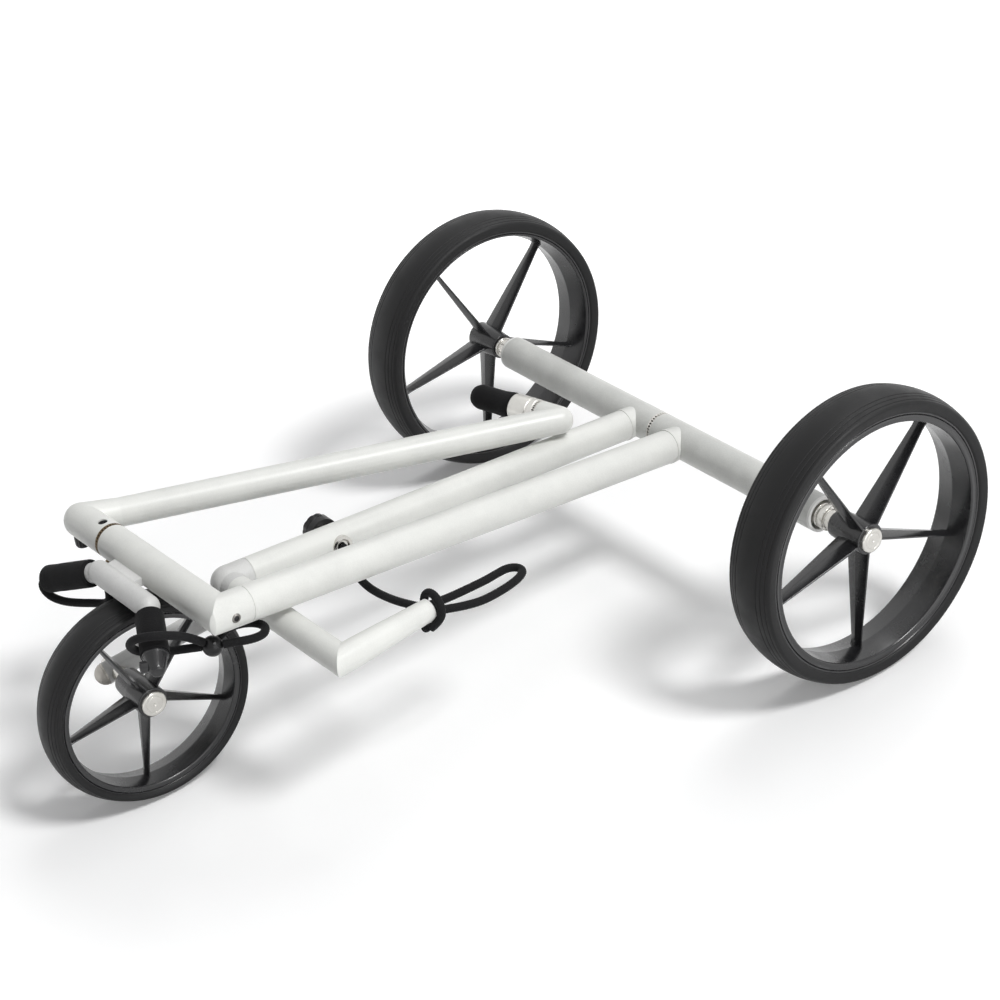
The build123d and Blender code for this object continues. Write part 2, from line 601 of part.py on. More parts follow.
# ----------------------------------------------------------- front tube and support
FRONT_LEG = 20.0         # front elbow along the support tube
BARREL_R = 10.3
BOLT_R = 4.0
HEAD_R = 6.5
HEAD_DEPTH = 4.0         # of the recess that the bolt's head sits in
NEAR = BOLT + RIGHT * (FRONT_R + 1)
FAR = BOLT - RIGHT * FRONT_R

with BuildPart() as front_tube:
    add(coped_tube(FRONT_REAR, FRONT_END - FRONT_DIR * FRONT_ELBOW_LEG, FRONT_R).part)
    run_of(FAR - RIGHT, NEAR, BARREL_R + SEAT, mode=Mode.SUBTRACT)
front_tube.part.label = "front_tube"
export_step(front_tube.part, "parts/front_tube.step")

with BuildPart() as strut_barrel:
    run_of(FAR, NEAR, BARREL_R, BOLT_R + SEAT)
    run_of(NEAR - RIGHT * HEAD_DEPTH, NEAR, HEAD_R + 1, mode=Mode.SUBTRACT)
strut_barrel.part.label = "strut_barrel"
export_step(strut_barrel.part, "parts/strut_barrel.step")

with BuildPart() as front_elbow:
    run_of(FRONT_END - FRONT_DIR * FRONT_ELBOW_LEG, FRONT_END, FRONT_R)
    chamfer(front_elbow.faces().sort_by(Axis(FRONT_END, FRONT_DIR))[0].edges(), length=SEAM_CHAMFER)
    ball_at(FRONT_END, FRONT_R)
    run_of(FRONT_END, FRONT_END + SUPPORT_DIR * FRONT_LEG, SUPPORT_R)
front_elbow.part.label = "front_elbow"
export_step(front_elbow.part, "parts/front_elbow.step")

MITRE = Plane(origin=SUPPORT_END, z_dir=SUPPORT_DIR + ARM_DIR)
with BuildPart() as support_tube:
    run_of(FRONT_END + SUPPORT_DIR * FRONT_LEG, SUPPORT_END + SUPPORT_DIR * 20, SUPPORT_R, SUPPORT_R - WALL)
    split(bisect_by=MITRE, keep=Keep.BOTTOM)
support_tube.part.label = "support_tube"
export_step(support_tube.part, "parts/support_tube.step")

ARM_TAPER_START = SUPPORT_END + ARM_DIR * 15
with BuildPart() as support_arm:
    run_of(SUPPORT_END - ARM_DIR * 20, ARM_TAPER_START, SUPPORT_R, SUPPORT_R - WALL)
    loft([ring(at(ARM_TAPER_START, ARM_DIR), SUPPORT_R), ring(at(ARM_END, ARM_DIR), ARM_END_R)])
    loft([ring(at(ARM_TAPER_START, ARM_DIR), SUPPORT_R - WALL),
          ring(at(ARM_END, ARM_DIR), ARM_END_R - WALL)], mode=Mode.SUBTRACT)
    split(bisect_by=MITRE, keep=Keep.TOP)
support_arm.part.label = "support_arm"
export_step(support_arm.part, "parts/support_arm.step")

with BuildPart() as arm_plug:
    run_of(ARM_END - ARM_DIR * 10, ARM_END, ARM_END_R - WALL - SEAT, 5.5)
    run_of(ARM_END, ARM_END + ARM_DIR * 2, ARM_END_R, 5.5)
arm_plug.part.label = "arm_plug"
export_step(arm_plug.part, "parts/arm_plug.step")

# --------------------------------------------------------------- front wheel's strut
LUG_T = 8.0
LUG_R = 15.0
SOCKET_WALL_R = 13.5
STRUT_SOCKET = 30.0
KNOB_T = 9.0
LUG_FACE = FAR - RIGHT * GAP
KNOB_FACE = LUG_FACE - RIGHT * (LUG_T + GAP)

with BuildPart() as strut_bolt:
    run_of(NEAR - RIGHT * HEAD_DEPTH, NEAR - RIGHT, HEAD_R)
    run_of(KNOB_FACE - RIGHT * (KNOB_T - 2), NEAR - RIGHT * HEAD_DEPTH, BOLT_R)
strut_bolt.part.label = "strut_bolt"
export_step(strut_bolt.part, "parts/strut_bolt.step")

with BuildPart() as strut_clamp:
    with BuildSketch(Plane(origin=LUG_FACE, x_dir=(0, 1, 0), z_dir=(-1, 0, 0))):
        Circle(LUG_R)
        with Locations((STRUT_REAR.Y - 12 - BOLT.Y, BOLT.Z - STRUT_REAR.Z + 1)):
            Circle(SOCKET_WALL_R - 2)
        make_hull()
    extrude(amount=LUG_T)
    run_of(STRUT_REAR - STRUT_DIR * STRUT_SOCKET, STRUT_REAR + STRUT_DIR * 3, SOCKET_WALL_R)
    run_of(STRUT_REAR - STRUT_DIR * (STRUT_SOCKET + 20), STRUT_REAR, STRUT_R + SEAT, mode=Mode.SUBTRACT)
    run_of(LUG_FACE + RIGHT, KNOB_FACE - RIGHT, BOLT_R + RUN, mode=Mode.SUBTRACT)
strut_clamp.part.label = "strut_clamp"
export_step(strut_clamp.part, "parts/strut_clamp.step")

with BuildPart() as strut_knob:
    with BuildSketch(at(KNOB_FACE, LEFT)):
        Circle(LUG_R)
        with PolarLocations(LUG_R + 3, 8):
            Circle(4.5, mode=Mode.SUBTRACT)
        Circle(BOLT_R + RUN, mode=Mode.SUBTRACT)
    extrude(amount=KNOB_T)
strut_knob.part.label = "strut_knob"
export_step(strut_knob.part, "parts/strut_knob.step")

STRUT_TIP = STRUT_AXLE - STRUT_DIR * 9
with BuildPart() as strut_tube:
    run_of(STRUT_TIP, STRUT_REAR, STRUT_R, STRUT_R - WALL)
    run_of(STRUT_AXLE - RIGHT * 20, STRUT_AXLE + RIGHT * 20, WHEEL_PIN_R + SEAT, mode=Mode.SUBTRACT)
strut_tube.part.label = "strut_tube"
export_step(strut_tube.part, "parts/strut_tube.step")

with BuildPart() as strut_cap:
    ball_at(STRUT_TIP, STRUT_R)
    run_of(STRUT_TIP, STRUT_TIP + STRUT_DIR * 12, STRUT_R + 1, mode=Mode.SUBTRACT)
strut_cap.part.label = "strut_cap"
export_step(strut_cap.part, "parts/strut_cap.step")

AXLE_HEAD_R = 7.0
FRONT_HUB_FACE = FRONT_HUB + RIGHT * (FRONT_HUB_ENDS[0] - GAP)
with BuildPart() as front_bush:
    run_of(STRUT_AXLE, FRONT_HUB_FACE, 7.5)
    run_of(STRUT_TIP, STRUT_REAR, STRUT_R + SEAT, mode=Mode.SUBTRACT)
    run_of(STRUT_AXLE, FRONT_HUB_FACE, WHEEL_PIN_R + SEAT, mode=Mode.SUBTRACT)
front_bush.part.label = "front_bush"
export_step(front_bush.part, "parts/front_bush.step")

with BuildPart() as front_axle:
    run_of(STRUT_AXLE - RIGHT * (STRUT_R + 3), STRUT_AXLE - RIGHT * (STRUT_R - 3), AXLE_HEAD_R)
    run_of(STRUT_TIP, STRUT_REAR, STRUT_R + SEAT, mode=Mode.SUBTRACT)
    run_of(STRUT_AXLE - RIGHT * (STRUT_R + 1), FRONT_HUB + RIGHT * (FRONT_HUB_ENDS[1] - 2), WHEEL_PIN_R)
front_axle.part.label = "front_axle"
export_step(front_axle.part, "parts/front_axle.step")

# ------------------------------------------------------------------- elastic cords
BALL_AT = spot(74, 562, 194)
BALL_R = 9.5
CORD_ROUTES = {
    # From the tip of the left sleeve, folded back under it to the foot of the arm.
    "cord_left": [
        spot(-124.7, 621.9, 202), spot(-130.4, 624.7, 200), spot(-134, 626.4, 191), spot(-128, 623.5, 182),
        spot(-114, 617, 179.5), spot(-97, 609, 182), spot(-80, 601, 186), spot(-64, 595, 190),
        spot(-56, 593.5, 200), spot(-55.5, 593.6, 211.7),
    ],
    # From the ball, round the right sleeve and back to the ball.
    "cord_right": [
        spot(73.1, 569.2, 200.9), spot(71.5, 583, 214), spot(74, 603, 226), spot(69, 617, 229.5),
        spot(56, 626, 224), spot(44, 626, 211.5), spot(38, 617.5, 198.5), spot(44.5, 602, 192),
        spot(56, 585, 193), spot(67.8, 569.9, 194),
    ],
    # The pull loop on the other side of the ball.
    "cord_pull": [
        spot(80.2, 554.2, 195.1), spot(88, 544.5, 196.5), spot(93.5, 530.5, 195.5), spot(90, 517.5, 193),
        spot(78.5, 510.5, 192.5), spot(66, 517, 193), spot(60, 530, 194), spot(62, 544, 195),
        spot(68.5, 553.7, 194.5),
    ],
    # From the strut's barrel, under the main tube and round the end of the support arm.
    "cord_lower": [
        spot(-10, 374, 171.5), spot(0, 375.5, 169.5), spot(12, 380, 165), spot(27, 384, 160.5),
        spot(44, 386, 158.5), spot(62, 385.5, 158), spot(80, 385, 159), spot(98, 385.5, 162.5),
        spot(113, 387, 165.5), spot(126, 388, 169), spot(134.3, 388, 177), spot(134.8, 388, 187.5),
        spot(144.6, 388, 196.1), spot(156.9, 388, 195.6), spot(165.2, 388, 186.5),
        spot(164.7, 388, 174.2), spot(156.1, 389.1, 166),
    ],
    # The pull loop that stands out of the support arm's open end.
    "cord_tail": [
        spot(143.3, 382.2, 182), spot(141.5, 370, 178.5), spot(138.5, 352, 174), spot(136, 331, 171.5),
        spot(132.5, 310, 168.5), spot(128.5, 292, 166.5), spot(128, 281, 165.4), spot(135, 274.5, 165),
        spot(143.5, 279, 165.5), spot(150.5, 291, 166.8), spot(157.5, 310, 169), spot(162.5, 334, 172),
        spot(160.5, 353, 174.5), spot(157.5, 370, 177.5), spot(156.3, 382.2, 180),
    ],
}


def bend_radii(points):
    """The arc at each corner of a cord: as large as the two runs beside it allow."""
    radii = []
    for before, corner, after in zip(points, points[1:], points[2:]):
        into = corner - before
        out = after - corner
        half_turn = radians(into.get_angle(out)) / 2
        radii.append(0.45 * min(into.length, out.length) / tan(half_turn))
    return radii


for name, route in CORD_ROUTES.items():
    radii = bend_radii(route)
    with BuildPart() as cord:
        with BuildLine():
            path = FilletPolyline(*route, radius=radii)
        sweep(ring(at(route[0], route[1] - route[0]), CORD_R), path=path)
    cord.part.label = name
    export_step(cord.part, f"parts/{name}.step")
    share = cord.part.volume / (path.length * pi * CORD_R ** 2)
    print(name, "length", round(path.length, 1), "volume share", round(share, 4))
    print("    radii", [round(radius, 1) for radius in radii])

with BuildPart() as cord_ball:
    ball_at(BALL_AT, BALL_R)
cord_ball.part.label = "cord_ball"
export_step(cord_ball.part, "parts/cord_ball.step")

KNOT_AT = spot(149.6, 389.5, 164.6)
KNOT_R = 5.5
with BuildPart() as cord_knot:
    ball_at(KNOT_AT, KNOT_R)
cord_knot.part.label = "cord_knot"
export_step(cord_knot.part, "parts/cord_knot.step")
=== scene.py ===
from math import cos, pi, radians, sin

import bmesh
import bpy
from mathutils import Matrix, Vector


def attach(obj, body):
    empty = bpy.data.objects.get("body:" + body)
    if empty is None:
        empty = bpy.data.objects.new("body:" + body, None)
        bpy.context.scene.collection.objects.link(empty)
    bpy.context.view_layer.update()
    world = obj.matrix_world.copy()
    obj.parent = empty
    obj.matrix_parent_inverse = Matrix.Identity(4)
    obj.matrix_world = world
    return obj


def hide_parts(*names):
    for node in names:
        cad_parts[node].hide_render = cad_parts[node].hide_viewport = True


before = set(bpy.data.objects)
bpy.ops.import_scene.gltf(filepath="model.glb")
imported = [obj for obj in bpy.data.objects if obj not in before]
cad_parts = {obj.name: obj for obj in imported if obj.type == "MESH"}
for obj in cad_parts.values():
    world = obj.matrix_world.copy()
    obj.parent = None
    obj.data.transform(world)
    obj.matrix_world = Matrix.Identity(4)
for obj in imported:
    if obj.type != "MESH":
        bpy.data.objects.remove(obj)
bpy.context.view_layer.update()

# The folded trolley: wheels, couplings, fittings and cords, in millimetres, dressed onto the
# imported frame. Tubes keep their CAD nodes and get paint only.
MM = 0.001
AXLE_Y = 276.9           # the rear axle, behind the origin
AXLE_Z = 145.0
WHEELBASE = 594.5


def spot(x, ahead, z):
    """A point in millimetres, given by its distance ahead of the rear axle."""
    return Vector((x, AXLE_Y - ahead, z))


# ---------------------------------------------------------------- camera
AZIMUTH, ELEVATION, ROLL = radians(57.62), radians(30.93), radians(-7.74)
TARGET = Vector((0.04709, 0.0475, 0.1818))
DISTANCE = 2.18696
LENS, SENSOR = 82.59, 36.0
FAR_LIMIT = 50.0

looking = Vector((-sin(AZIMUTH) * cos(ELEVATION), cos(AZIMUTH) * cos(ELEVATION), -sin(ELEVATION)))
level = looking.cross(Vector((0, 0, 1))).normalized()
upward = level.cross(looking)
rightward = level * cos(ROLL) + upward * sin(ROLL)
upward = upward * cos(ROLL) - level * sin(ROLL)
camera_data = bpy.data.cameras.new("camera")
camera_data.lens = LENS
camera_data.sensor_width = SENSOR
camera_data.clip_end = FAR_LIMIT
camera = bpy.data.objects.new("camera", camera_data)
camera.matrix_world = Matrix.Translation(TARGET - looking * DISTANCE) @ Matrix(
    (rightward, upward, -looking)).transposed().to_4x4()
bpy.context.scene.collection.objects.link(camera)
bpy.context.scene.camera = camera
bpy.context.scene.view_settings.view_transform = "Standard"


# ---------------------------------------------------------------- node materials
def new_material(name):
    """A material with an empty node tree, a shader and its output."""
    made = bpy.data.materials.new(name)
    made.use_nodes = True
    tree = made.node_tree
    tree.nodes.clear()
    shader = tree.nodes.new("ShaderNodeBsdfPrincipled")
    output = tree.nodes.new("ShaderNodeOutputMaterial")
    tree.links.new(shader.outputs["BSDF"], output.inputs["Surface"])
    return made, tree, shader


def node(tree, kind, settings=None, **inputs):
    """Adds a node. Inputs are numbers or sockets of other nodes, by name, or i and a number."""
    made = tree.nodes.new(kind)
    for key, value in (settings or {}).items():
        setattr(made, key, value)
    for key, value in inputs.items():
        socket = made.inputs[int(key[1:])] if key[0] == "i" and key[1:].isdigit() else made.inputs[key]
        if isinstance(value, bpy.types.NodeSocket):
            tree.links.new(value, socket)
        else:
            socket.default_value = value
    return made


def noise(tree, where, scale, detail=3.0, roughness=0.5):
    """A noise texture's factor."""
    return node(tree, "ShaderNodeTexNoise", Vector=where, Scale=scale, Detail=detail,
                Roughness=roughness).outputs["Fac"]


def spread(tree, value, low, high, start=0.3, end=0.7):
    """A value from start to end, carried to low to high."""
    made = node(tree, "ShaderNodeMapRange", i0=value, i1=start, i2=end, i3=low, i4=high)
    return made.outputs[0]


def tinted(tree, factor, first, second):
    """A colour between two, by a factor."""
    ramp = tree.nodes.new("ShaderNodeValToRGB")
    ramp.color_ramp.elements[0].color = (*first, 1)
    ramp.color_ramp.elements[1].color = (*second, 1)
    tree.links.new(factor, ramp.inputs["Fac"])
    return ramp


def raised(tree, height, strength, distance, normal=None):
    """A bump from a height."""
    made = node(tree, "ShaderNodeBump", Strength=strength, Distance=distance, Height=height)
    if normal is not None:
        tree.links.new(normal, made.inputs["Normal"])
    return made.outputs["Normal"]


def place_of(tree):
    """A point's place in its own object, in metres."""
    return node(tree, "ShaderNodeTexCoord").outputs["Object"]


def painted(name, colour, shade, rough, grain=0.25):
    """Powder coat: a fine orange peel, faint mottling and a satin sheen."""
    made, tree, shader = new_material(name)
    where = place_of(tree)
    broad = noise(tree, where, 22.0, 4.0, 0.6)
    fine = noise(tree, where, 900.0, 2.0)
    blend = node(tree, "ShaderNodeMath", {"operation": "MULTIPLY_ADD"}, i0=fine, i1=0.45).outputs[0]
    tree.links.new(broad, blend.node.inputs[2])
    ramp = tinted(tree, blend, shade, colour)
    ramp.color_ramp.elements[0].position = 0.42
    ramp.color_ramp.elements[1].position = 0.86
    tree.links.new(ramp.outputs["Color"], shader.inputs["Base Color"])
    tree.links.new(spread(tree, broad, rough - 0.06, rough + 0.08), shader.inputs["Roughness"])
    peel = raised(tree, noise(tree, where, 420.0, 2.0), grain, 0.0004)
    tree.links.new(raised(tree, fine, grain, 0.00015, peel), shader.inputs["Normal"])
    shader.inputs["Coat Weight"].default_value = 0.15
    shader.inputs["Coat Roughness"].default_value = 0.3
    return made


def moulded(name, colour, mottle_and_highlight, rough, grain=0.2, scale=700.0, specular=0.45):
    """Moulded plastic or rubber: a fine tool grain, random lighter mottling, and a painted highlight along
    sharp edges.
    """
    made, tree, shader = new_material(name)
    where = place_of(tree)
    # Sharp edges, found by pointiness, are painted in the lighter colour: a painted edge highlight.
    pointed = node(tree, "ShaderNodeNewGeometry").outputs["Pointiness"]
    edge = spread(tree, pointed, 0.0, 1.0, 0.52, 0.62)
    cloud = noise(tree, where, 35.0, 5.0, 0.65)
    factor = node(tree, "ShaderNodeMath", {"operation": "MULTIPLY_ADD", "use_clamp": True},
                  i0=cloud, i1=0.55, i2=edge).outputs[0]
    ramp = tinted(tree, factor, colour, mottle_and_highlight)
    ramp.color_ramp.elements[0].position = 0.15
    tree.links.new(ramp.outputs["Color"], shader.inputs["Base Color"])
    tree.links.new(spread(tree, cloud, rough - 0.07, rough + 0.1), shader.inputs["Roughness"])
    fine = noise(tree, where, scale, 3.0, 0.6)
    tree.links.new(raised(tree, fine, grain, 0.0003), shader.inputs["Normal"])
    shader.inputs["Specular IOR Level"].default_value = specular
    return made


def foam(name, colour, light):
    """Closed foam: small open cells, dull and soft."""
    made, tree, shader = new_material(name)
    where = place_of(tree)
    cells = node(tree, "ShaderNodeTexVoronoi", Vector=where, Scale=780.0).outputs["Distance"]
    cloud = noise(tree, where, 60.0, 4.0)
    ramp = tinted(tree, cloud, colour, light)
    tree.links.new(ramp.outputs["Color"], shader.inputs["Base Color"])
    tree.links.new(spread(tree, cloud, 0.78, 0.95), shader.inputs["Roughness"])
    tree.links.new(raised(tree, cells, 0.5, 0.0005), shader.inputs["Normal"])
    shader.inputs["Sheen Weight"].default_value = 0.03
    shader.inputs["Specular IOR Level"].default_value = 0.15
    shader.inputs["Sheen Roughness"].default_value = 0.5
    return made


def turned(name, colour, dull, rough, lines=1500.0):
    """Turned metal: fine rings about the piece's own z axis, with faint staining."""
    made, tree, shader = new_material(name)
    where = place_of(tree)
    parts = node(tree, "ShaderNodeSeparateXYZ", Vector=where).outputs
    flat = node(tree, "ShaderNodeCombineXYZ", X=parts["X"], Y=parts["Y"]).outputs[0]
    radius = node(tree, "ShaderNodeVectorMath", {"operation": "LENGTH"}, i0=flat).outputs["Value"]
    both = node(tree, "ShaderNodeMath", {"operation": "ADD"}, i0=radius, i1=parts["Z"]).outputs[0]
    outward = node(tree, "ShaderNodeCombineXYZ", X=both).outputs[0]
    rings = noise(tree, outward, lines, 3.0, 0.7)
    stain = noise(tree, where, 130.0, 4.0, 0.6)
    ramp = tinted(tree, stain, dull, colour)
    tree.links.new(ramp.outputs["Color"], shader.inputs["Base Color"])
    tree.links.new(spread(tree, rings, rough - 0.08, rough + 0.12), shader.inputs["Roughness"])
    tree.links.new(raised(tree, rings, 0.3, 0.0002), shader.inputs["Normal"])
    shader.inputs["Metallic"].default_value = 1.0
    return made


def woven(name, colour, light):
    """Braided cover of an elastic cord: dull yarn with a little sheen and stray light flecks."""
    made, tree, shader = new_material(name)
    where = place_of(tree)
    yarn = noise(tree, where, 1500.0, 2.0, 0.7)
    ramp = tinted(tree, yarn, colour, light)
    ramp.color_ramp.elements[0].position = 0.4
    ramp.color_ramp.elements[1].position = 0.75
    tree.links.new(ramp.outputs["Color"], shader.inputs["Base Color"])
    tree.links.new(spread(tree, yarn, 0.7, 0.95), shader.inputs["Roughness"])
    tree.links.new(raised(tree, yarn, 0.4, 0.0003), shader.inputs["Normal"])
    shader.inputs["Sheen Weight"].default_value = 0.05
    shader.inputs["Specular IOR Level"].default_value = 0.15
    shader.inputs["Sheen Roughness"].default_value = 0.4
    return made


MATERIALS = {
    "frame_paint": painted("frame_paint", (0.73, 0.735, 0.705), (0.64, 0.645, 0.62), 0.42),
    "axle_paint": painted("axle_paint", (0.65, 0.655, 0.63), (0.53, 0.535, 0.515), 0.46, grain=0.4),
    "grey_paint": painted("grey_paint", (0.62, 0.62, 0.61), (0.50, 0.50, 0.49), 0.45),
    "polished_steel": turned("polished_steel", (0.68, 0.67, 0.64), (0.50, 0.485, 0.45), 0.2),
    "dull_steel": turned("dull_steel", (0.46, 0.44, 0.41), (0.32, 0.305, 0.28), 0.5),
    "screw_steel": turned("screw_steel", (0.30, 0.29, 0.27), (0.12, 0.115, 0.11), 0.3),
    "coupling_metal": turned("coupling_metal", (0.24, 0.18, 0.11), (0.06, 0.045, 0.03), 0.4),
    "collar_metal": turned("collar_metal", (0.70, 0.69, 0.66), (0.55, 0.54, 0.51), 0.34, lines=700.0),
    "wheel_plastic": moulded("wheel_plastic", (0.008, 0.008, 0.009), (0.026, 0.026, 0.028), 0.22,
                             grain=0.1, specular=0.6),
    "tyre_rubber": moulded("tyre_rubber", (0.005, 0.005, 0.0055), (0.012, 0.012, 0.012), 0.5,
                           grain=0.3, scale=500.0, specular=0.26),
    "black_rubber": foam("black_rubber", (0.003, 0.003, 0.0035), (0.009, 0.009, 0.0095)),
    "knob_plastic": moulded("knob_plastic", (0.005, 0.005, 0.0055), (0.016, 0.016, 0.017), 0.3,
                            specular=0.28),
    "grey_plastic": moulded("grey_plastic", (0.008, 0.008, 0.009), (0.03, 0.03, 0.031), 0.22),
    "white_plastic": moulded("white_plastic", (0.80, 0.80, 0.78), (0.88, 0.88, 0.86), 0.34),
    "elastic_cord": woven("elastic_cord", (0.004, 0.004, 0.0045), (0.022, 0.022, 0.023)),
}

for name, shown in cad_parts.items():
    for index, given in enumerate(shown.data.materials):
        shown.data.materials[index] = MATERIALS[given.name.split(".")[0]]


# ---------------------------------------------------------------- mesh forms
def across(axis):
    """Two unit directions square to an axis and to each other."""
    axis = axis.normalized()
    hint = Vector((0, 0, 1)) if abs(axis.z) < 0.9 else Vector((1, 0, 0))
    first = (hint - axis * hint.dot(axis)).normalized()
    return first, axis.cross(first)


def eased(points, closed=False, steps=4):
    """A line of (along, radius, easing) points, with each corner rounded by its easing."""
    line = []
    count = len(points)
    for index, (along, radius, easing) in enumerate(points):
        here = Vector((along, radius))
        if not easing or (not closed and index in (0, count - 1)):
            line.append(here)
            continue
        before = Vector(points[index - 1][:2])
        after = Vector(points[(index + 1) % count][:2])
        cut = min(easing, 0.45 * (before - here).length, 0.45 * (after - here).length)
        start = here + (before - here).normalized() * cut
        end = here + (after - here).normalized() * cut
        for step in range(steps + 1):
            share = step / steps
            line.append(start * (1 - share) ** 2 + here * 2 * share * (1 - share) + end * share ** 2)
    return line


class Form:
    """Closed shells in millimetres that become one object."""

    def __init__(self):
        self.points = []
        self.faces = []

    def row(self, points):
        """Adds points and gives their numbers."""
        first = len(self.points)
        self.points.extend(points)
        return list(range(first, first + len(points)))

    def skin(self, rows, closed=False, caps=True):
        """Joins rows of points. A row of one point is a pole."""
        pairs = list(zip(rows, rows[1:]))
        if closed:
            pairs.append((rows[-1], rows[0]))
        for low, high in pairs:
            count = max(len(low), len(high))
            for index in range(count):
                after = (index + 1) % count
                if len(low) == 1:
                    self.faces.append((low[0], high[index], high[after]))
                elif len(high) == 1:
                    self.faces.append((low[index], high[0], low[after]))
                else:
                    self.faces.append((low[index], high[index], high[after], low[after]))
        if caps and not closed:
            for end in (rows[0], rows[-1]):
                if len(end) > 2:
                    self.faces.append(tuple(end))

    def lathe(self, origin, axis, outline, steps=96, closed=True, wave=None):
        """Turns an outline of (along, radius) points about an axis."""
        first, second = across(axis)
        axis = axis.normalized()
        rows = []
        for along, radius in outline:
            if radius < 1e-6:
                rows.append(self.row([origin + axis * along]))
                continue
            ring = []
            for step in range(steps):
                angle = 2 * pi * step / steps
                reach = radius + (wave(angle, along, radius) if wave else 0)
                ring.append(origin + axis * along + (first * cos(angle) + second * sin(angle)) * reach)
            rows.append(self.row(ring))
        self.skin(rows, closed=closed, caps=not closed)
        return self

    def sweep(self, line, radius, steps=24, wave=None, closed=False):
        """A round section along a line of points."""
        rows = []
        first, _ = across(line[1] - line[0])
        travelled = 0.0
        for index, point in enumerate(line):
            before = line[index - 1] if closed else line[max(index - 1, 0)]
            after = line[(index + 1) % len(line)] if closed else line[min(index + 1, len(line) - 1)]
            ahead = (after - before).normalized()
            first = (first - ahead * first.dot(ahead)).normalized()
            second = ahead.cross(first)
            travelled += (point - line[max(index - 1, 0)]).length
            ring = []
            for step in range(steps):
                angle = 2 * pi * step / steps
                reach = radius + (wave(angle, travelled) if wave else 0)
                ring.append(point + (first * cos(angle) + second * sin(angle)) * reach)
            rows.append(self.row(ring))
        self.skin(rows, closed=closed)
        return self

    def loft(self, sections, caps=True):
        """Joins sections that have the same number of points."""
        self.skin([self.row(section) for section in sections], caps=caps)
        return self

    def object(self, name, slot, body, nodes=(), origin=None, axis=None, crease=38, material=None):
        """One object of the shells, riding on a body and standing for CAD nodes."""
        place = Matrix.Identity(4)
        if origin is not None:
            first, second = across(axis)
            place = Matrix.Translation(origin * MM) @ Matrix(
                (first, second, axis.normalized())).transposed().to_4x4()
        back = place.inverted()
        data = bpy.data.meshes.new(name)
        data.from_pydata([back @ (point * MM) for point in self.points], [], self.faces)
        work = bmesh.new()
        work.from_mesh(data)
        bmesh.ops.recalc_face_normals(work, faces=work.faces)
        work.to_mesh(data)
        work.free()
        data.shade_smooth()
        data.set_sharp_from_angle(angle=radians(crease))
        made = bpy.data.objects.new(name, data)
        made.matrix_world = place
        data.materials.append(material or MATERIALS[slot])
        bpy.context.scene.collection.objects.link(made)
        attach(made, body)
        if nodes:
            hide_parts(*nodes)
        return made


# ---------------------------------------------------------------- elastic cords
# The routes are the control points of the cords' splines, in spot's terms. They follow the
# CAD tubes, and stand a few millimetres off them where the lower cord turns at the arm's tip.
CORD_R = 4.0
ROUTES = {
    "cord_left": [
        (-124.7, 621.9, 202), (-130.4, 624.7, 200), (-134, 626.4, 191), (-128, 623.5, 182),
        (-114, 617, 179.5), (-97, 609, 182), (-80, 601, 186), (-64, 595, 190), (-56, 593.5, 200),
        (-55.5, 593.6, 211.7),
    ],
    "cord_right": [
        (73.1, 569.2, 200.9), (71.5, 583, 214), (74, 603, 226), (69, 617, 229.5), (56, 626, 224),
        (44, 626, 211.5), (38, 617.5, 198.5), (44.5, 602, 192), (56, 585, 193), (67.8, 569.9, 194),
    ],
    "cord_pull": [
        (80.2, 554.2, 195.1), (88, 544.5, 196.5), (93.5, 530.5, 195.5), (90, 517.5, 193),
        (78.5, 510.5, 192.5), (66, 517, 193), (60, 530, 194), (62, 544, 195), (68.5, 553.7, 194.5),
    ],
    "cord_lower": [
        (-10, 374, 171.5), (0, 375.5, 169.5), (12, 380, 165), (27, 384, 160.5), (44, 386, 158.5),
        (62, 385.5, 158.5), (80, 385, 161), (98, 384.5, 165), (113, 383, 168.5), (125, 381, 170.8),
        (134.3, 379.6, 175.6), (135.6, 379, 186.4), (144.6, 378.6, 195), (156, 378.6, 194.6),
        (163.9, 379, 186.2), (163.2, 381.5, 174.4), (156.1, 388.6, 166),
    ],
    "cord_tail": [
        (145, 382.2, 181.6), (142.6, 370, 178.5), (138.5, 352, 174), (136, 331, 171.5), (132.5, 310, 168.5),
        (128.3, 294, 166.5), (126.6, 282.5, 165.5), (131.2, 274.2, 165), (140.2, 273.6, 165.1),
        (147.6, 282.5, 165.9), (153.6, 297, 167.4), (158.6, 314, 169.5), (162.3, 335, 172),
        (160.5, 353, 174.5), (156.5, 370, 177.5), (154.4, 382.2, 180.2),
    ],
}
CORDS = {
    # name: body, pieces on it, lay
    "cord_left": ("upper_frame", [], "loose"),
    "cord_right": ("upper_frame", ["ball_moulded"], "taut"),
    "cord_pull": ("upper_frame", ["ball_moulded"], "loose"),
    "cord_lower": ("lower_frame", ["knot_tied"], "taut"),
    "cord_tail": ("lower_frame", [], "loose"),
}


def smooth_line(route):
    """The points of the smooth spline that a route's points control, in millimetres."""
    data = bpy.data.curves.new("route", "CURVE")
    data.dimensions = "3D"
    data.resolution_u = 16
    spline = data.splines.new("NURBS")
    spline.points.add(len(route) - 1)
    for point, place in zip(spline.points, route):
        point.co = (*(spot(*place) * MM), 1)
    spline.order_u = 3
    spline.use_endpoint_u = True
    holder = bpy.data.objects.new("route", data)
    bpy.context.scene.collection.objects.link(holder)
    mesh = bpy.data.meshes.new_from_object(holder)
    line = [vertex.co / MM for vertex in mesh.vertices]
    bpy.data.objects.remove(holder)
    bpy.data.curves.remove(data)
    bpy.data.meshes.remove(mesh)
    return line


BRAID_STRANDS = 10
BRAID_PITCH = 6.0


def braid(angle, run):
    """Height of the braided cover: two families of strands that cross."""
    turn = BRAID_STRANDS * angle / 2
    climb = pi * run / BRAID_PITCH * 2
    return 0.3 * (abs(cos(turn + climb) * cos(turn - climb)) ** 0.6 - 1)


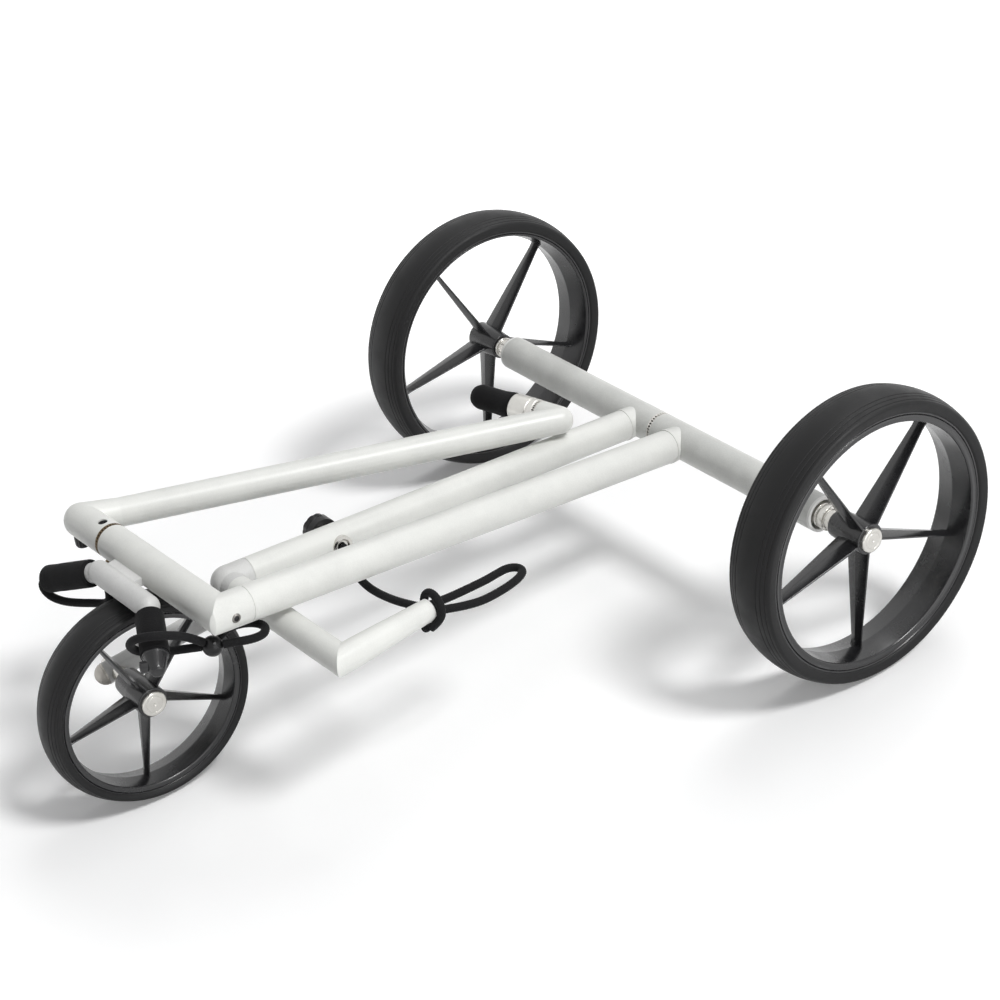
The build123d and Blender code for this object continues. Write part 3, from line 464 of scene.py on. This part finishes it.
# ---------------------------------------------------------------- floor, light, world
FLOOR_REACH = 9.0
FLOOR_GREY = 0.92
NEAR_LIFT, FAR_LIFT = 0.13, 0.6          # white added to the floor as the camera sees it
NEAR, FAR = 0.45, 1.1                    # distances from the trolley's middle, for those lifts
SOFT_LIGHT = 0.18                        # of the world, on the object


def seen_directly(tree):
    """One where the camera or a mirror looks, and nought where light is gathered."""
    path = node(tree, "ShaderNodeLightPath").outputs
    first = node(tree, "ShaderNodeMath", {"operation": "MAXIMUM"}, i0=path["Is Camera Ray"],
                 i1=path["Is Glossy Ray"]).outputs[0]
    return node(tree, "ShaderNodeMath", {"operation": "MAXIMUM"}, i0=first,
                i1=path["Is Transmission Ray"]).outputs[0]


def floor_material():
    """A pale floor that keeps shadows and turns white away from the trolley."""
    made, tree, shader = new_material("floor")
    shader.inputs["Base Color"].default_value = (FLOOR_GREY, FLOOR_GREY, FLOOR_GREY, 1)
    shader.inputs["Roughness"].default_value = 0.9
    shader.inputs["Specular IOR Level"].default_value = 0.1
    reach = node(tree, "ShaderNodeVectorMath", {"operation": "LENGTH"}, i0=place_of(tree)).outputs["Value"]
    lift = node(tree, "ShaderNodeEmission", Strength=spread(tree, reach, NEAR_LIFT, FAR_LIFT, NEAR, FAR))
    lift.inputs["Color"].default_value = (1, 1, 1, 1)
    none = node(tree, "ShaderNodeEmission", Strength=0.0)
    pick = node(tree, "ShaderNodeMixShader", Fac=seen_directly(tree), i1=none.outputs[0],
                i2=lift.outputs[0])
    total = node(tree, "ShaderNodeAddShader", i0=shader.outputs[0], i1=pick.outputs[0])
    output = [each for each in tree.nodes if each.type == "OUTPUT_MATERIAL"][0]
    tree.links.new(total.outputs[0], output.inputs["Surface"])
    return made


def soft_world():
    """A weak soft light on the object, before a white background."""
    world = bpy.data.worlds.new("world")
    bpy.context.scene.world = world
    world.use_nodes = True
    tree = world.node_tree
    tree.nodes.clear()
    soft = node(tree, "ShaderNodeBackground", Strength=SOFT_LIGHT)
    soft.inputs["Color"].default_value = (0.97, 0.98, 1.0, 1)
    white = node(tree, "ShaderNodeBackground", Strength=1.0)
    white.inputs["Color"].default_value = (1, 1, 1, 1)
    pick = node(tree, "ShaderNodeMixShader", Fac=seen_directly(tree), i1=soft.outputs[0],
                i2=white.outputs[0])
    output = tree.nodes.new("ShaderNodeOutputWorld")
    tree.links.new(pick.outputs[0], output.inputs["Surface"])


def area_light(name, place, towards, size, power):
    """A square soft light."""
    data = bpy.data.lights.new(name, "AREA")
    data.size = size
    data.energy = power
    made = bpy.data.objects.new(name, data)
    made.location = place
    made.rotation_euler = (Vector(towards) - Vector(place)).to_track_quat("-Z", "Y").to_euler()
    bpy.context.scene.collection.objects.link(made)


def sun_light(name, source, softness, energy):
    """A soft sun that shines from a direction. Its softness is its angle across, in degrees."""
    data = bpy.data.lights.new(name, "SUN")
    data.energy = energy
    data.angle = radians(softness)
    made = bpy.data.objects.new(name, data)
    made.rotation_euler = (-Vector(source)).to_track_quat("-Z", "Y").to_euler()
    bpy.context.scene.collection.objects.link(made)


ground = bpy.data.meshes.new("floor")
ground.from_pydata([(-FLOOR_REACH, -FLOOR_REACH, 0), (FLOOR_REACH, -FLOOR_REACH, 0),
                    (FLOOR_REACH, FLOOR_REACH, 0), (-FLOOR_REACH, FLOOR_REACH, 0)], [], [(0, 1, 2, 3)])
floor = bpy.data.objects.new("floor", ground)
bpy.context.scene.collection.objects.link(floor)
ground.materials.append(floor_material())
soft_world()
sun_light("key", (0.55, 0.22, 0.81), 14, 2.0)
sun_light("back", (-0.22, 0.50, 0.84), 28, 0.6)
area_light("top", (0.3, 0.4, 3.2), (0.0, 0.0, 0.0), 2.6, 6)
area_light("side", (2.9, 0.1, 0.8), (0.0, 0.0, 0.15), 2.2, 25)

# ---------------------------------------------------------------- wheels
RIGHT = Vector((1, 0, 0))
LEFT = Vector((-1, 0, 0))
UP = Vector((0, 0, 1))
SPOKES = 5
REAR = {
    "radius": 145.0, "seat": 131.0, "tyre_half": 26.85, "shoulder": 4.7, "rim_half": 24.0, "groove": 127.2,
    "lips": (120, 124), "waist": 118.5, "hub": (-31.9, 11.1), "hub_r": 15.5,
    "root": (8.5, 29), "foot": (4.5, 12),
}
FRONT = {
    "radius": 104.3, "seat": 93.5, "tyre_half": 21.5, "shoulder": 5.9, "rim_half": 19.0, "groove": 90.6,
    "lips": (85, 88.2), "waist": 83.5, "hub": (-33.7, 16.3), "hub_r": 15.0,
    "root": (8, 25), "foot": (4, 9),
}
WHEELS = [
    # name, body, centre, outward, angle of the first spoke, sizes
    ("rear_right", "rear_wheel_right", spot(298.3, 0, AXLE_Z), RIGHT, 48.0, REAR),
    ("rear_left", "rear_wheel_left", spot(-298.3, 0, AXLE_Z), LEFT, 46.5, REAR),
    ("front", "front_wheel", spot(-28.3, WHEELBASE, 104.3), RIGHT, 43.0, FRONT),
]


def tyre_outline(size):
    """Half a tyre's section and its mirror: seat, wall, shoulder and grooved tread."""
    outer, seat, half = size["radius"], size["seat"], size["tyre_half"]
    inside = size["rim_half"] + 0.1
    edge = outer - size["shoulder"]
    bulge = seat + (edge - seat) * 0.6
    start = half - 1.6

    def crown(along):
        return outer - size["shoulder"] * (abs(along) / start) ** 2

    one = [(inside, seat + 0.02, 0), (inside, seat - 2, 0.4), (half - 1.2, seat - 0.6, 1.2),
           (half - 0.15, bulge - 1.5, 1.5), (half, bulge + 1.5, 1.0), (half - 0.35, edge - 1.4, 0.5),
           (start, edge, 0.4)]
    for share in (0.84, 0.67, 0.5):
        groove = half * share
        one += [(groove + 0.55, crown(groove + 0.55), 0.15), (groove + 0.2, crown(groove) - 0.5, 0.1),
                (groove - 0.2, crown(groove) - 0.5, 0.1), (groove - 0.55, crown(groove - 0.55), 0.15)]
    one += [(along, crown(along), 0) for along in (half * (0.4 - 0.1 * step) for step in range(5))]
    other = [(-along, radius, easing) for along, radius, easing in reversed(one[:-1])]
    return eased(one + other, closed=True, steps=3)


def spoke_rows(centre, angle, offset, size):
    """Sections of one spoke, a blade on edge, flared where it meets the rim."""
    outward = Vector((0, cos(radians(angle)), sin(radians(angle))))
    sideways = RIGHT.cross(outward)
    root, foot, waist = size["root"], size["foot"], size["waist"]
    inner, outer = size["hub_r"] * 0.6, waist + 4
    rows = []
    for share in (0.0, 0.04, 0.09, 0.2, 0.4, 0.6, 0.8, 0.9, 0.945, 0.97, 0.985, 1.0):
        distance = inner + (outer - inner) * share
        flare = max(0.0, (distance - (waist - 7)) / 11)
        width = root[0] + (foot[0] - root[0]) * share + 4.0 * flare ** 2
        depth = root[1] + (foot[1] - root[1]) * share + 5.0 * flare ** 2
        corners = [(-depth / 2, width / 8), (-depth / 2, -width / 8), (0, -width / 2),
                   (depth / 2, -width / 8), (depth / 2, width / 8), (0, width / 2)]
        outline = eased([(a, b, 0.6) for a, b in corners], closed=True, steps=3)
        middle = centre + outward * distance + RIGHT * offset * (1 - share)
        rows.append([middle + RIGHT * a + sideways * b for a, b in outline])
    return rows


def rim_outline(size):
    """The rim's section: tyre seat, a groove and two lips at each face, and a waisted drum."""
    half, seat, groove, waist = size["rim_half"], size["seat"], size["groove"], size["waist"]
    outer, inner = size["lips"]
    return eased([
        (half, seat, 0), (half, groove + 0.7, 0.2), (half - 1.2, groove, 0.1), (half, groove - 0.7, 0.3),
        (half - 0.5, groove - 2.5, 0.6), (half - 0.2, outer + 1.2, 0.8), (half - 1.4, outer, 0.8),
        (0, waist, 0.8), (1.4 - half, inner, 0.8), (0.2 - half, inner + 1.2, 0.6),
        (-half, groove - 0.7, 0.3), (1.2 - half, groove, 0.1), (-half, groove + 0.7, 0.2),
        (-half, seat, 0)], closed=True)


def hub_outline(size):
    """The hub's section round its bearings, a little thinner towards the inner end."""
    hub_in, hub_out = size["hub"]
    hub_r = size["hub_r"]
    middle = (hub_in + hub_out) / 2
    return eased([
        (hub_in, 7, 0), (hub_in, hub_r - 2, 1.0), (middle - 4, hub_r - 0.4, 2), (middle, hub_r, 2),
        (hub_out, hub_r, 1.2), (hub_out, 7, 0)], closed=True)


def wheel_moulding(name, body, centre, outward, phase, size):
    """Rim, five spokes and hub, in one plastic piece."""
    form = Form().lathe(centre, outward, rim_outline(size), 192)
    offset = outward.x * sum(size["hub"]) / 6
    for index in range(SPOKES):
        form.loft(spoke_rows(centre, phase + index * 360 / SPOKES, offset, size))
    form.lathe(centre, outward, hub_outline(size), 96)
    form.object("moulding_" + name, "wheel_plastic", body, ["wheel_" + name], centre, outward, 30)


def wheel_cap(name, body, centre, outward, size):
    """Steel cap on the hub's outer end, with a ring groove and a small centre."""
    face = size["hub"][1]
    outline = [(0, 0, 0), (0, 12.3, 0), (2.9, 12.5, 0.5), (4, 11.4, 0.5), (4, 8.6, 0.15), (3.75, 8.4, 0.1),
               (3.75, 7.9, 0.1), (4, 7.7, 0.15), (4, 1.6, 0.2), (3.5, 0.9, 0.2), (3.4, 0, 0)]
    outline = [(face + along, radius, easing) for along, radius, easing in outline]
    Form().lathe(centre, outward, eased(outline), 96, closed=False).object(
        "cap_" + name, "polished_steel", body, ["hub_cap_" + name], centre, outward)


def wheel_bearings(name, body, centre, outward, size):
    """A bearing at each end of the hub, with a sunk shield between its rings."""
    form = Form()
    for end, inward in zip(size["hub"], (1, -1)):
        sunk, back = end + inward * 0.4, end + inward * 4.9
        race = [(end, 9.45, 0.3), (end, 8.3, 0.15), (sunk, 8.1, 0.1), (sunk, 6.5, 0.1),
                (end, 6.3, 0.15), (end, 5.06, 0.2), (back, 5.06, 0), (back, 9.45, 0)]
        form.lathe(centre, outward, eased(race, closed=True), 72)
    form.object("races_" + name, "polished_steel", body, ["bearings_" + name], centre, outward)


for name, body, centre, outward, phase, size in WHEELS:
    Form().lathe(centre, outward, tyre_outline(size), 256).object(
        "tread_" + name, "tyre_rubber", body, ["tyre_" + name], centre, outward)
    wheel_moulding(name, body, centre, outward, phase, size)
    wheel_cap(name, body, centre, outward, size)
    wheel_bearings(name, body, centre, outward, size)

# ---------------------------------------------------------------- ends of the axle
AXLE_MIDDLE = Vector((0, AXLE_Y, AXLE_Z))
AXLE_STUB = [
    # plug inside the tube, seat, groove, collar, groove, shoulder and wheel pin
    (206, 0, 0), (206, 15.9, 0), (230, 15.9, 0.6), (230, 12.4, 0), (247, 12.4, 0.3), (247.5, 11.2, 0.3),
    (249.5, 11.2, 0.3), (250, 12.5, 0.4), (256.4, 12.5, 0.6), (257, 10.0, 0.4), (261.8, 10.0, 0.3),
    (262.1, 11.5, 0.5), (265, 11.5, 0.6), (266, 9.6, 0.4), (266, 5, 0), (307.4, 5, 0.5), (307.4, 0, 0),
]
END_RING = [(233, 15.95, 0), (242.9, 15.95, 0), (243, 18, 0), (246, 18, 0.9), (246, 15, 0.5), (233, 15, 0)]

for outward, name, body in ((RIGHT, "right", "upper_frame"), (LEFT, "left", "lower_frame")):
    Form().lathe(AXLE_MIDDLE, outward, eased(AXLE_STUB), 96, closed=False).object(
        "stub_" + name, "polished_steel", body, ["wheel_axle_" + name], AXLE_MIDDLE, outward)
    Form().lathe(AXLE_MIDDLE, outward, eased(END_RING, closed=True), 96).object(
        "end_ring_" + name, "white_plastic", body, ["axle_end_ring_" + name], AXLE_MIDDLE, outward)

# ---------------------------------------------------------------- points of the frame
MAIN_R, AXLE_R, HANDLE_R = 17.0, 18.0, 14.2
MAIN_REAR, MAIN_FRONT = spot(41, 0, AXLE_Z), spot(76.5, 551.7, 224)
CROSS_END, HANDLE_END = spot(-160.3, 563.2, 224), spot(-27, 100, 186)
FRONT_REAR, FRONT_END = spot(-27, 0, AXLE_Z), spot(-27, 490, 180)
SUPPORT_END, ARM_END = spot(157, 483, 180), spot(150, 385.5, 181)
STRUT_AXLE, STRUT_REAR = spot(-88, WHEELBASE, 104.3), spot(-60.5, 378, 140)
MAIN_DIR = (MAIN_FRONT - MAIN_REAR).normalized()
CROSS_DIR = (CROSS_END - MAIN_FRONT).normalized()
FRONT_DIR = (FRONT_END - FRONT_REAR).normalized()
ARM_DIR = (ARM_END - SUPPORT_END).normalized()
STRUT_DIR = (STRUT_REAR - STRUT_AXLE).normalized()
GRIP_DIR = Vector((-0.970, -0.241, 0)).normalized()
AXLE_SEAM = Vector((7, AXLE_Y, AXLE_Z))
CROSS_SEAM = CROSS_END - CROSS_DIR * 56.5
GRIP_SEAM = HANDLE_END + GRIP_DIR * 25.4

# ---------------------------------------------------------------- toothed couplings
TEETH = 36
TOOTH_STEPS = 12
CREST, ROOT, BACK = -0.2, -1.7, -2.3     # heights of a ring's face and back, from the seam


def toothed(form, seam, facing, radius, bore):
    """A ring with teeth on its face, their crests just short of the seam."""
    first, second = across(facing)
    steps = TEETH * TOOTH_STEPS
    outer, face, inner, foot, heel = [], [], [], [], []
    for step in range(steps):
        angle = 2 * pi * step / steps
        share = abs((step % TOOTH_STEPS) / (TOOTH_STEPS / 2) - 1)
        along = ROOT + (CREST - ROOT) * min(1.0, max(0.0, (share - 0.25) / 0.42))
        way = first * cos(angle) + second * sin(angle)
        outer.append(seam + facing * (along - 0.25) + way * radius)
        face.append(seam + facing * along + way * (radius - 0.35))
        inner.append(seam + facing * along + way * bore)
        foot.append(seam + facing * BACK + way * bore)
        heel.append(seam + facing * BACK + way * radius)
    form.skin([form.row(row) for row in (heel, outer, face, inner, foot)], closed=True)
    return form


def sleeved_ring(name, slot, body, nodes, seam, facing, radius, bore, sleeve, length):
    """A toothed ring with a sleeve behind it that is pressed into its tube."""
    piece = toothed(Form(), seam, facing, radius, bore)
    piece.lathe(seam, facing, [(BACK, sleeve), (BACK, bore), (-length, bore), (-length, sleeve)], 72)
    piece.object(name, slot, body, nodes, seam, facing, 25)


sleeved_ring("axle_teeth_right", "collar_metal", "upper_frame", ["axle_coupling_right"],
             AXLE_SEAM, LEFT, AXLE_R, 11.05, 15.98, 32.3)
sleeved_ring("axle_teeth_left", "collar_metal", "lower_frame", ["axle_coupling_left"],
             AXLE_SEAM, RIGHT, AXLE_R, 11.02, 15.98, 32.3)
sleeved_ring("cross_teeth", "coupling_metal", "upper_frame", ["cross_coupling"],
             CROSS_SEAM, CROSS_DIR, MAIN_R, 8.05, 14.98, 22.3)

# The handle's ring has a spigot that turns in the cross tube's sleeve.
piece = toothed(Form(), CROSS_SEAM, -CROSS_DIR, MAIN_R, 4.0)
piece.lathe(CROSS_SEAM, CROSS_DIR, eased([
    (-22, 0, 0), (-22, 8, 0.8), (2.3, 8, 0), (2.3, 4, 0), (22.3, 4, 0.5), (22.3, 0, 0)]), 72, closed=False)
piece.object("handle_teeth", "coupling_metal", "handle", ["handle_coupling"], CROSS_SEAM, CROSS_DIR, 25)

sleeved_ring("grip_teeth", "collar_metal", "handle", ["grip_coupling"],
             GRIP_SEAM, GRIP_DIR, HANDLE_R, 6.05, 9, 15.3)

# The catch beside the cross tube's coupling: a small turned bar with a waist.
catch = CROSS_SEAM - CROSS_DIR * 3.3 + Vector((0, -0.55, -0.835)) * (MAIN_R + 1.6)
Form().lathe(catch, -CROSS_DIR, eased([
    (0, 0, 0), (0, 2.4, 0.2), (0.8, 3.2, 0.2), (3.6, 3.2, 0.3), (4.2, 2.5, 0.3), (5.4, 2.5, 0.3),
    (6.0, 3.2, 0.3), (12.2, 3.2, 0.3), (13, 2.4, 0.2), (13, 0, 0)]), 48, closed=False).object(
    "catch_bar", "coupling_metal", "upper_frame", ["coupling_catch"], catch, CROSS_DIR)


# ---------------------------------------------------------------- screws
def hexagon(reach):
    """Turns each circle inside a reach into a hexagon."""
    def wave(angle, along, radius):
        if radius > reach + 0.01:
            return 0
        return radius * (0.866 / cos((angle % (pi / 3)) - pi / 6) - 1)
    return wave


screw = MAIN_FRONT - MAIN_DIR * 9 + RIGHT * (MAIN_R - 1.2)
Form().lathe(screw, RIGHT, eased([
    (0, 0, 0), (0, 4.5, 0), (0.9, 4.5, 0.4), (1.7, 3.9, 0.4), (2.0, 3.2, 0.1), (1.9, 2.95, 0),
    (0.7, 2.8, 0), (0.7, 0, 0)], steps=5), 72, closed=False, wave=hexagon(2.95)).object(
    "corner_screw_head", "polished_steel", "upper_frame", ["corner_screw"], screw, RIGHT, 30,
    MATERIALS["screw_steel"])
# A black disc under the screw's hex socket: painted shade at the bottom of the recess.
Form().lathe(screw, RIGHT, [(0.7, 0), (0.7, 2.6), (0.95, 2.6), (0.95, 0)], 48, closed=False).object(
    "corner_screw_painted_shade", "knob_plastic", "upper_frame", origin=screw, axis=RIGHT)

bolt = FRONT_REAR + FRONT_DIR * (374 / -FRONT_DIR.y)
near = bolt + RIGHT * 17
Form().lathe(near, RIGHT, eased([
    (-44.8, 0, 0), (-44.8, 4, 0.5), (-4, 4, 0), (-4, 6.5, 0), (-1.4, 6.5, 0.4), (-1, 5.8, 0.2),
    (-1, 3.2, 0.1), (-1.3, 3.0, 0.1), (-1.4, 2.6, 0.1), (-1.4, 0, 0)]), 72, closed=False,
    wave=hexagon(3.2)).object(
    "strut_bolt_head", "polished_steel", "lower_frame", ["strut_bolt"], near, RIGHT, 30)

# ---------------------------------------------------------------- bracket's sleeves
SLEEVES = [
    # side, foot of the bracket's arm, its direction, the sleeve's end along it, that end's easing
    ("left", spot(-66, 594, 223), Vector((-0.84, -0.40, -0.30)).normalized(), 68.0, 5.5),
    ("right", spot(18, 590, 223), Vector((0.84, -0.40, -0.30)).normalized(), 56.0, 1.0),
]
for side, foot, way, end, easing in SLEEVES:
    outline = [(10, 9.55, 0.4), (10, 12.4, 0.9), (11.5, 13, 1.5), (end - 20, 13, 2), (end - 14, 12.8, 2),
               (end - 8, 13, 2), (end, 13, easing), (end, 6.5, 0.8), (end - 1.2, 5.6, 0.6),
               (end - 1.2, 0, 0), (end - 3.9, 0, 0), (end - 3.9, 9.55, 0)]
    Form().lathe(foot, way, eased(outline, steps=7), 96).object(
        "sleeve_" + side, "black_rubber", "upper_frame", ["bracket_sleeve_" + side], foot, way)

# The right sleeve's end fitting: a cone with a lug.
_, foot, way, end, _ = SLEEVES[-1]
plug = foot + way * end
lug = Vector((-0.39, -0.92, 0)).normalized()
piece = Form().lathe(plug, way, eased([
    (0, 0, 0), (0, 12, 0.8), (2.2, 11.6, 0.3), (2.5, 11.0, 0.3), (14, 8.2, 3), (18, 7, 1.5), (20, 5, 1.2),
    (20, 0, 0)], steps=5), 72, closed=False)
piece.lathe(plug + way * 10, lug, eased([
    (0, 0, 0), (0, 5.4, 0), (14, 5.5, 2.2), (15, 3.0, 1.0), (15, 0, 0)], steps=5), 48, closed=False)
piece.object("plug_cone", "grey_plastic", "upper_frame", ["sleeve_plug"], plug, way)

# ---------------------------------------------------------------- accessory socket
# A black cup inside the open socket in the handle's elbow: painted shade, so that the socket reads as a
# dark hole.
socket = Vector((-114.95, -284.1, 240.2))
Form().lathe(socket, UP, [
    (-0.8, 4.45), (-0.8, 4.2), (-10.6, 4.2), (-10.6, 0), (-11.2, 0), (-11.2, 4.45)], 64,
    closed=False).object("socket_painted_shade", "black_rubber", "handle", origin=socket, axis=UP)


# ---------------------------------------------------------------- handle's knob and grip
def fluted(count, depth, start, end):
    """Shallow flutes between two heights."""
    def wave(angle, along, radius):
        if not start < along < end or radius < 6:
            return 0
        return -depth * (0.5 - 0.5 * cos(count * angle)) ** 2
    return wave


knob = Vector((CROSS_END.x, CROSS_END.y, 206)) + Vector((CROSS_DIR.x, CROSS_DIR.y, 0)) * 9.7
Form().lathe(knob, UP, eased([
    (-15, 0, 0), (-15, 4, 1.2), (-13.9, 6.5, 1.5), (-11.5, 7.5, 1.2), (-9, 7.5, 0.6), (-6, 7.5, 0.6),
    (-2.5, 7.5, 0.8), (-0.7, 6.8, 0.8), (0, 5, 0.4), (0, 3, 0), (9, 3, 0), (9, 0, 0)], steps=5), 120,
    closed=False, wave=fluted(14, 0.5, -13, -1.5)).object(
    "knob_fluted", "knob_plastic", "handle_knob", ["handle_knob"], knob, UP)

piece = toothed(Form(), GRIP_SEAM, -GRIP_DIR, HANDLE_R, 6.02)
piece.lathe(HANDLE_END, GRIP_DIR, eased([
    (27.7, 6.02, 0), (27.7, 14.2, 0.2), (28.6, 14.5, 0.4), (33.0, 14.5, 0.5), (33.5, 13.6, 0.2),
    (35.2, 13.6, 0.2), (35.7, 14.5, 0.5), (55.6, 14.5, 0.5), (57, 13.9, 0.4), (57, 9.02, 0),
    (45, 9.02, 0), (45, 6.02, 0)], closed=True), 96)
piece.object("collar", "collar_metal", "grip", ["grip_collar"], GRIP_SEAM, GRIP_DIR, 25)

Form().lathe(HANDLE_END, GRIP_DIR, eased([
    (57, 9.02, 0), (57, 13.8, 0.8), (59, 14.5, 1.5), (63, 14.2, 3), (72, 13, 5), (84, 12.8, 6),
    (96, 13, 5), (103.4, 13, 7), (110.5, 9.5, 4.5), (110.5, 3.2, 0.6), (109.4, 2.6, 0.3), (109.4, 0, 0),
    (104, 0, 0), (104, 9.02, 0)], steps=9), 96).object(
    "grip_foam", "black_rubber", "grip", ["grip_cover"], HANDLE_END, GRIP_DIR)

# ---------------------------------------------------------------- arm's plug
Form().lathe(ARM_END, ARM_DIR, eased([
    (-10, 8.48, 0.3), (0, 8.48, 0), (0, 10.5, 0.3), (1.2, 10.5, 0.6), (2, 9.6, 0.5), (2, 6.4, 0.5),
    (1.2, 5.6, 0.4), (-10, 5.5, 0)], closed=True), 72).object(
    "arm_rim", "white_plastic", "lower_frame", ["arm_plug"], ARM_END, ARM_DIR)

# ---------------------------------------------------------------- strut's end and knob
tip = STRUT_AXLE - STRUT_DIR * 9
Form().lathe(tip, -STRUT_DIR, eased([
    (0, 0, 0), (0, 11, 0), (1.2, 11, 0.2), (1.5, 10.5, 0.15), (2.1, 10.45, 0.15), (2.4, 10.75, 0.15),
    (4.5, 9.9, 1), (7.2, 8.2, 1.2), (9.6, 5.1, 1.2), (10.7, 2.2, 1), (11, 0, 0)], steps=5), 72,
    closed=False).object(
    "strut_end", "polished_steel", "wheel_strut", ["strut_cap"], tip, STRUT_DIR,
    material=MATERIALS["dull_steel"])


def lobed(angle, along, radius):
    """Ten slight finger hollows round the strut's knob."""
    if radius < 12:
        return 0
    return -0.55 * (0.5 + 0.5 * cos(10 * angle)) ** 2


knob = bolt - RIGHT * (16 + 0.4 + 8 + 0.4)
Form().lathe(knob, LEFT, eased([
    (0, 4.05, 0), (0, 14.2, 0.5), (0.8, 15, 0.6), (7.4, 14.9, 0.8), (9, 13, 1.6), (8.6, 9, 1.2),
    (9, 6.4, 0.4), (9, 4.05, 0)], closed=True, steps=5), 160, wave=lobed).object(
    "strut_knob_lobed", "knob_plastic", "strut_knob", ["strut_knob"], knob, LEFT)

# ---------------------------------------------------------------- ball and knot on the cords
BALL_R = 9.5
BALL_AXIS = Vector((0.45, 0.2, 0.87))
BALL_STEPS = 48
ball = spot(74, 562, 194)
outline = [(BALL_R * cos(pi * (1 - step / BALL_STEPS)), BALL_R * sin(pi * step / BALL_STEPS))
           for step in range(BALL_STEPS + 1)]
outline = [(along, radius - (0.22 if abs(along) < 0.35 else 0)) for along, radius in outline]
Form().lathe(ball, BALL_AXIS, outline, 96, closed=False).object(
    "ball_moulded", "knob_plastic", "upper_frame", ["cord_ball"], ball, BALL_AXIS, 60)

KNOT_STEPS = 72
knot = spot(149.6, 389.5, 164.6)
turns = []
for step in range(KNOT_STEPS):
    angle = 2 * pi * step / KNOT_STEPS
    reach = 2.25 + 0.95 * cos(3 * angle)
    turns.append(knot + Vector((1.25 * sin(3 * angle), reach * cos(2 * angle), reach * sin(2 * angle))))
Form().sweep(turns, 2.1, 20, closed=True).object(
    "knot_tied", "knob_plastic", "lower_frame", ["cord_knot"], knot, RIGHT, 60, MATERIALS["elastic_cord"])

# ---------------------------------------------------------------- braided cords
for name, route in ROUTES.items():
    body, on_it, lay = CORDS[name]
    line = smooth_line(route)
    cord = Form().sweep(line, CORD_R, 40, braid).object(
        name + "_braided", "elastic_cord", body, [name], crease=60)
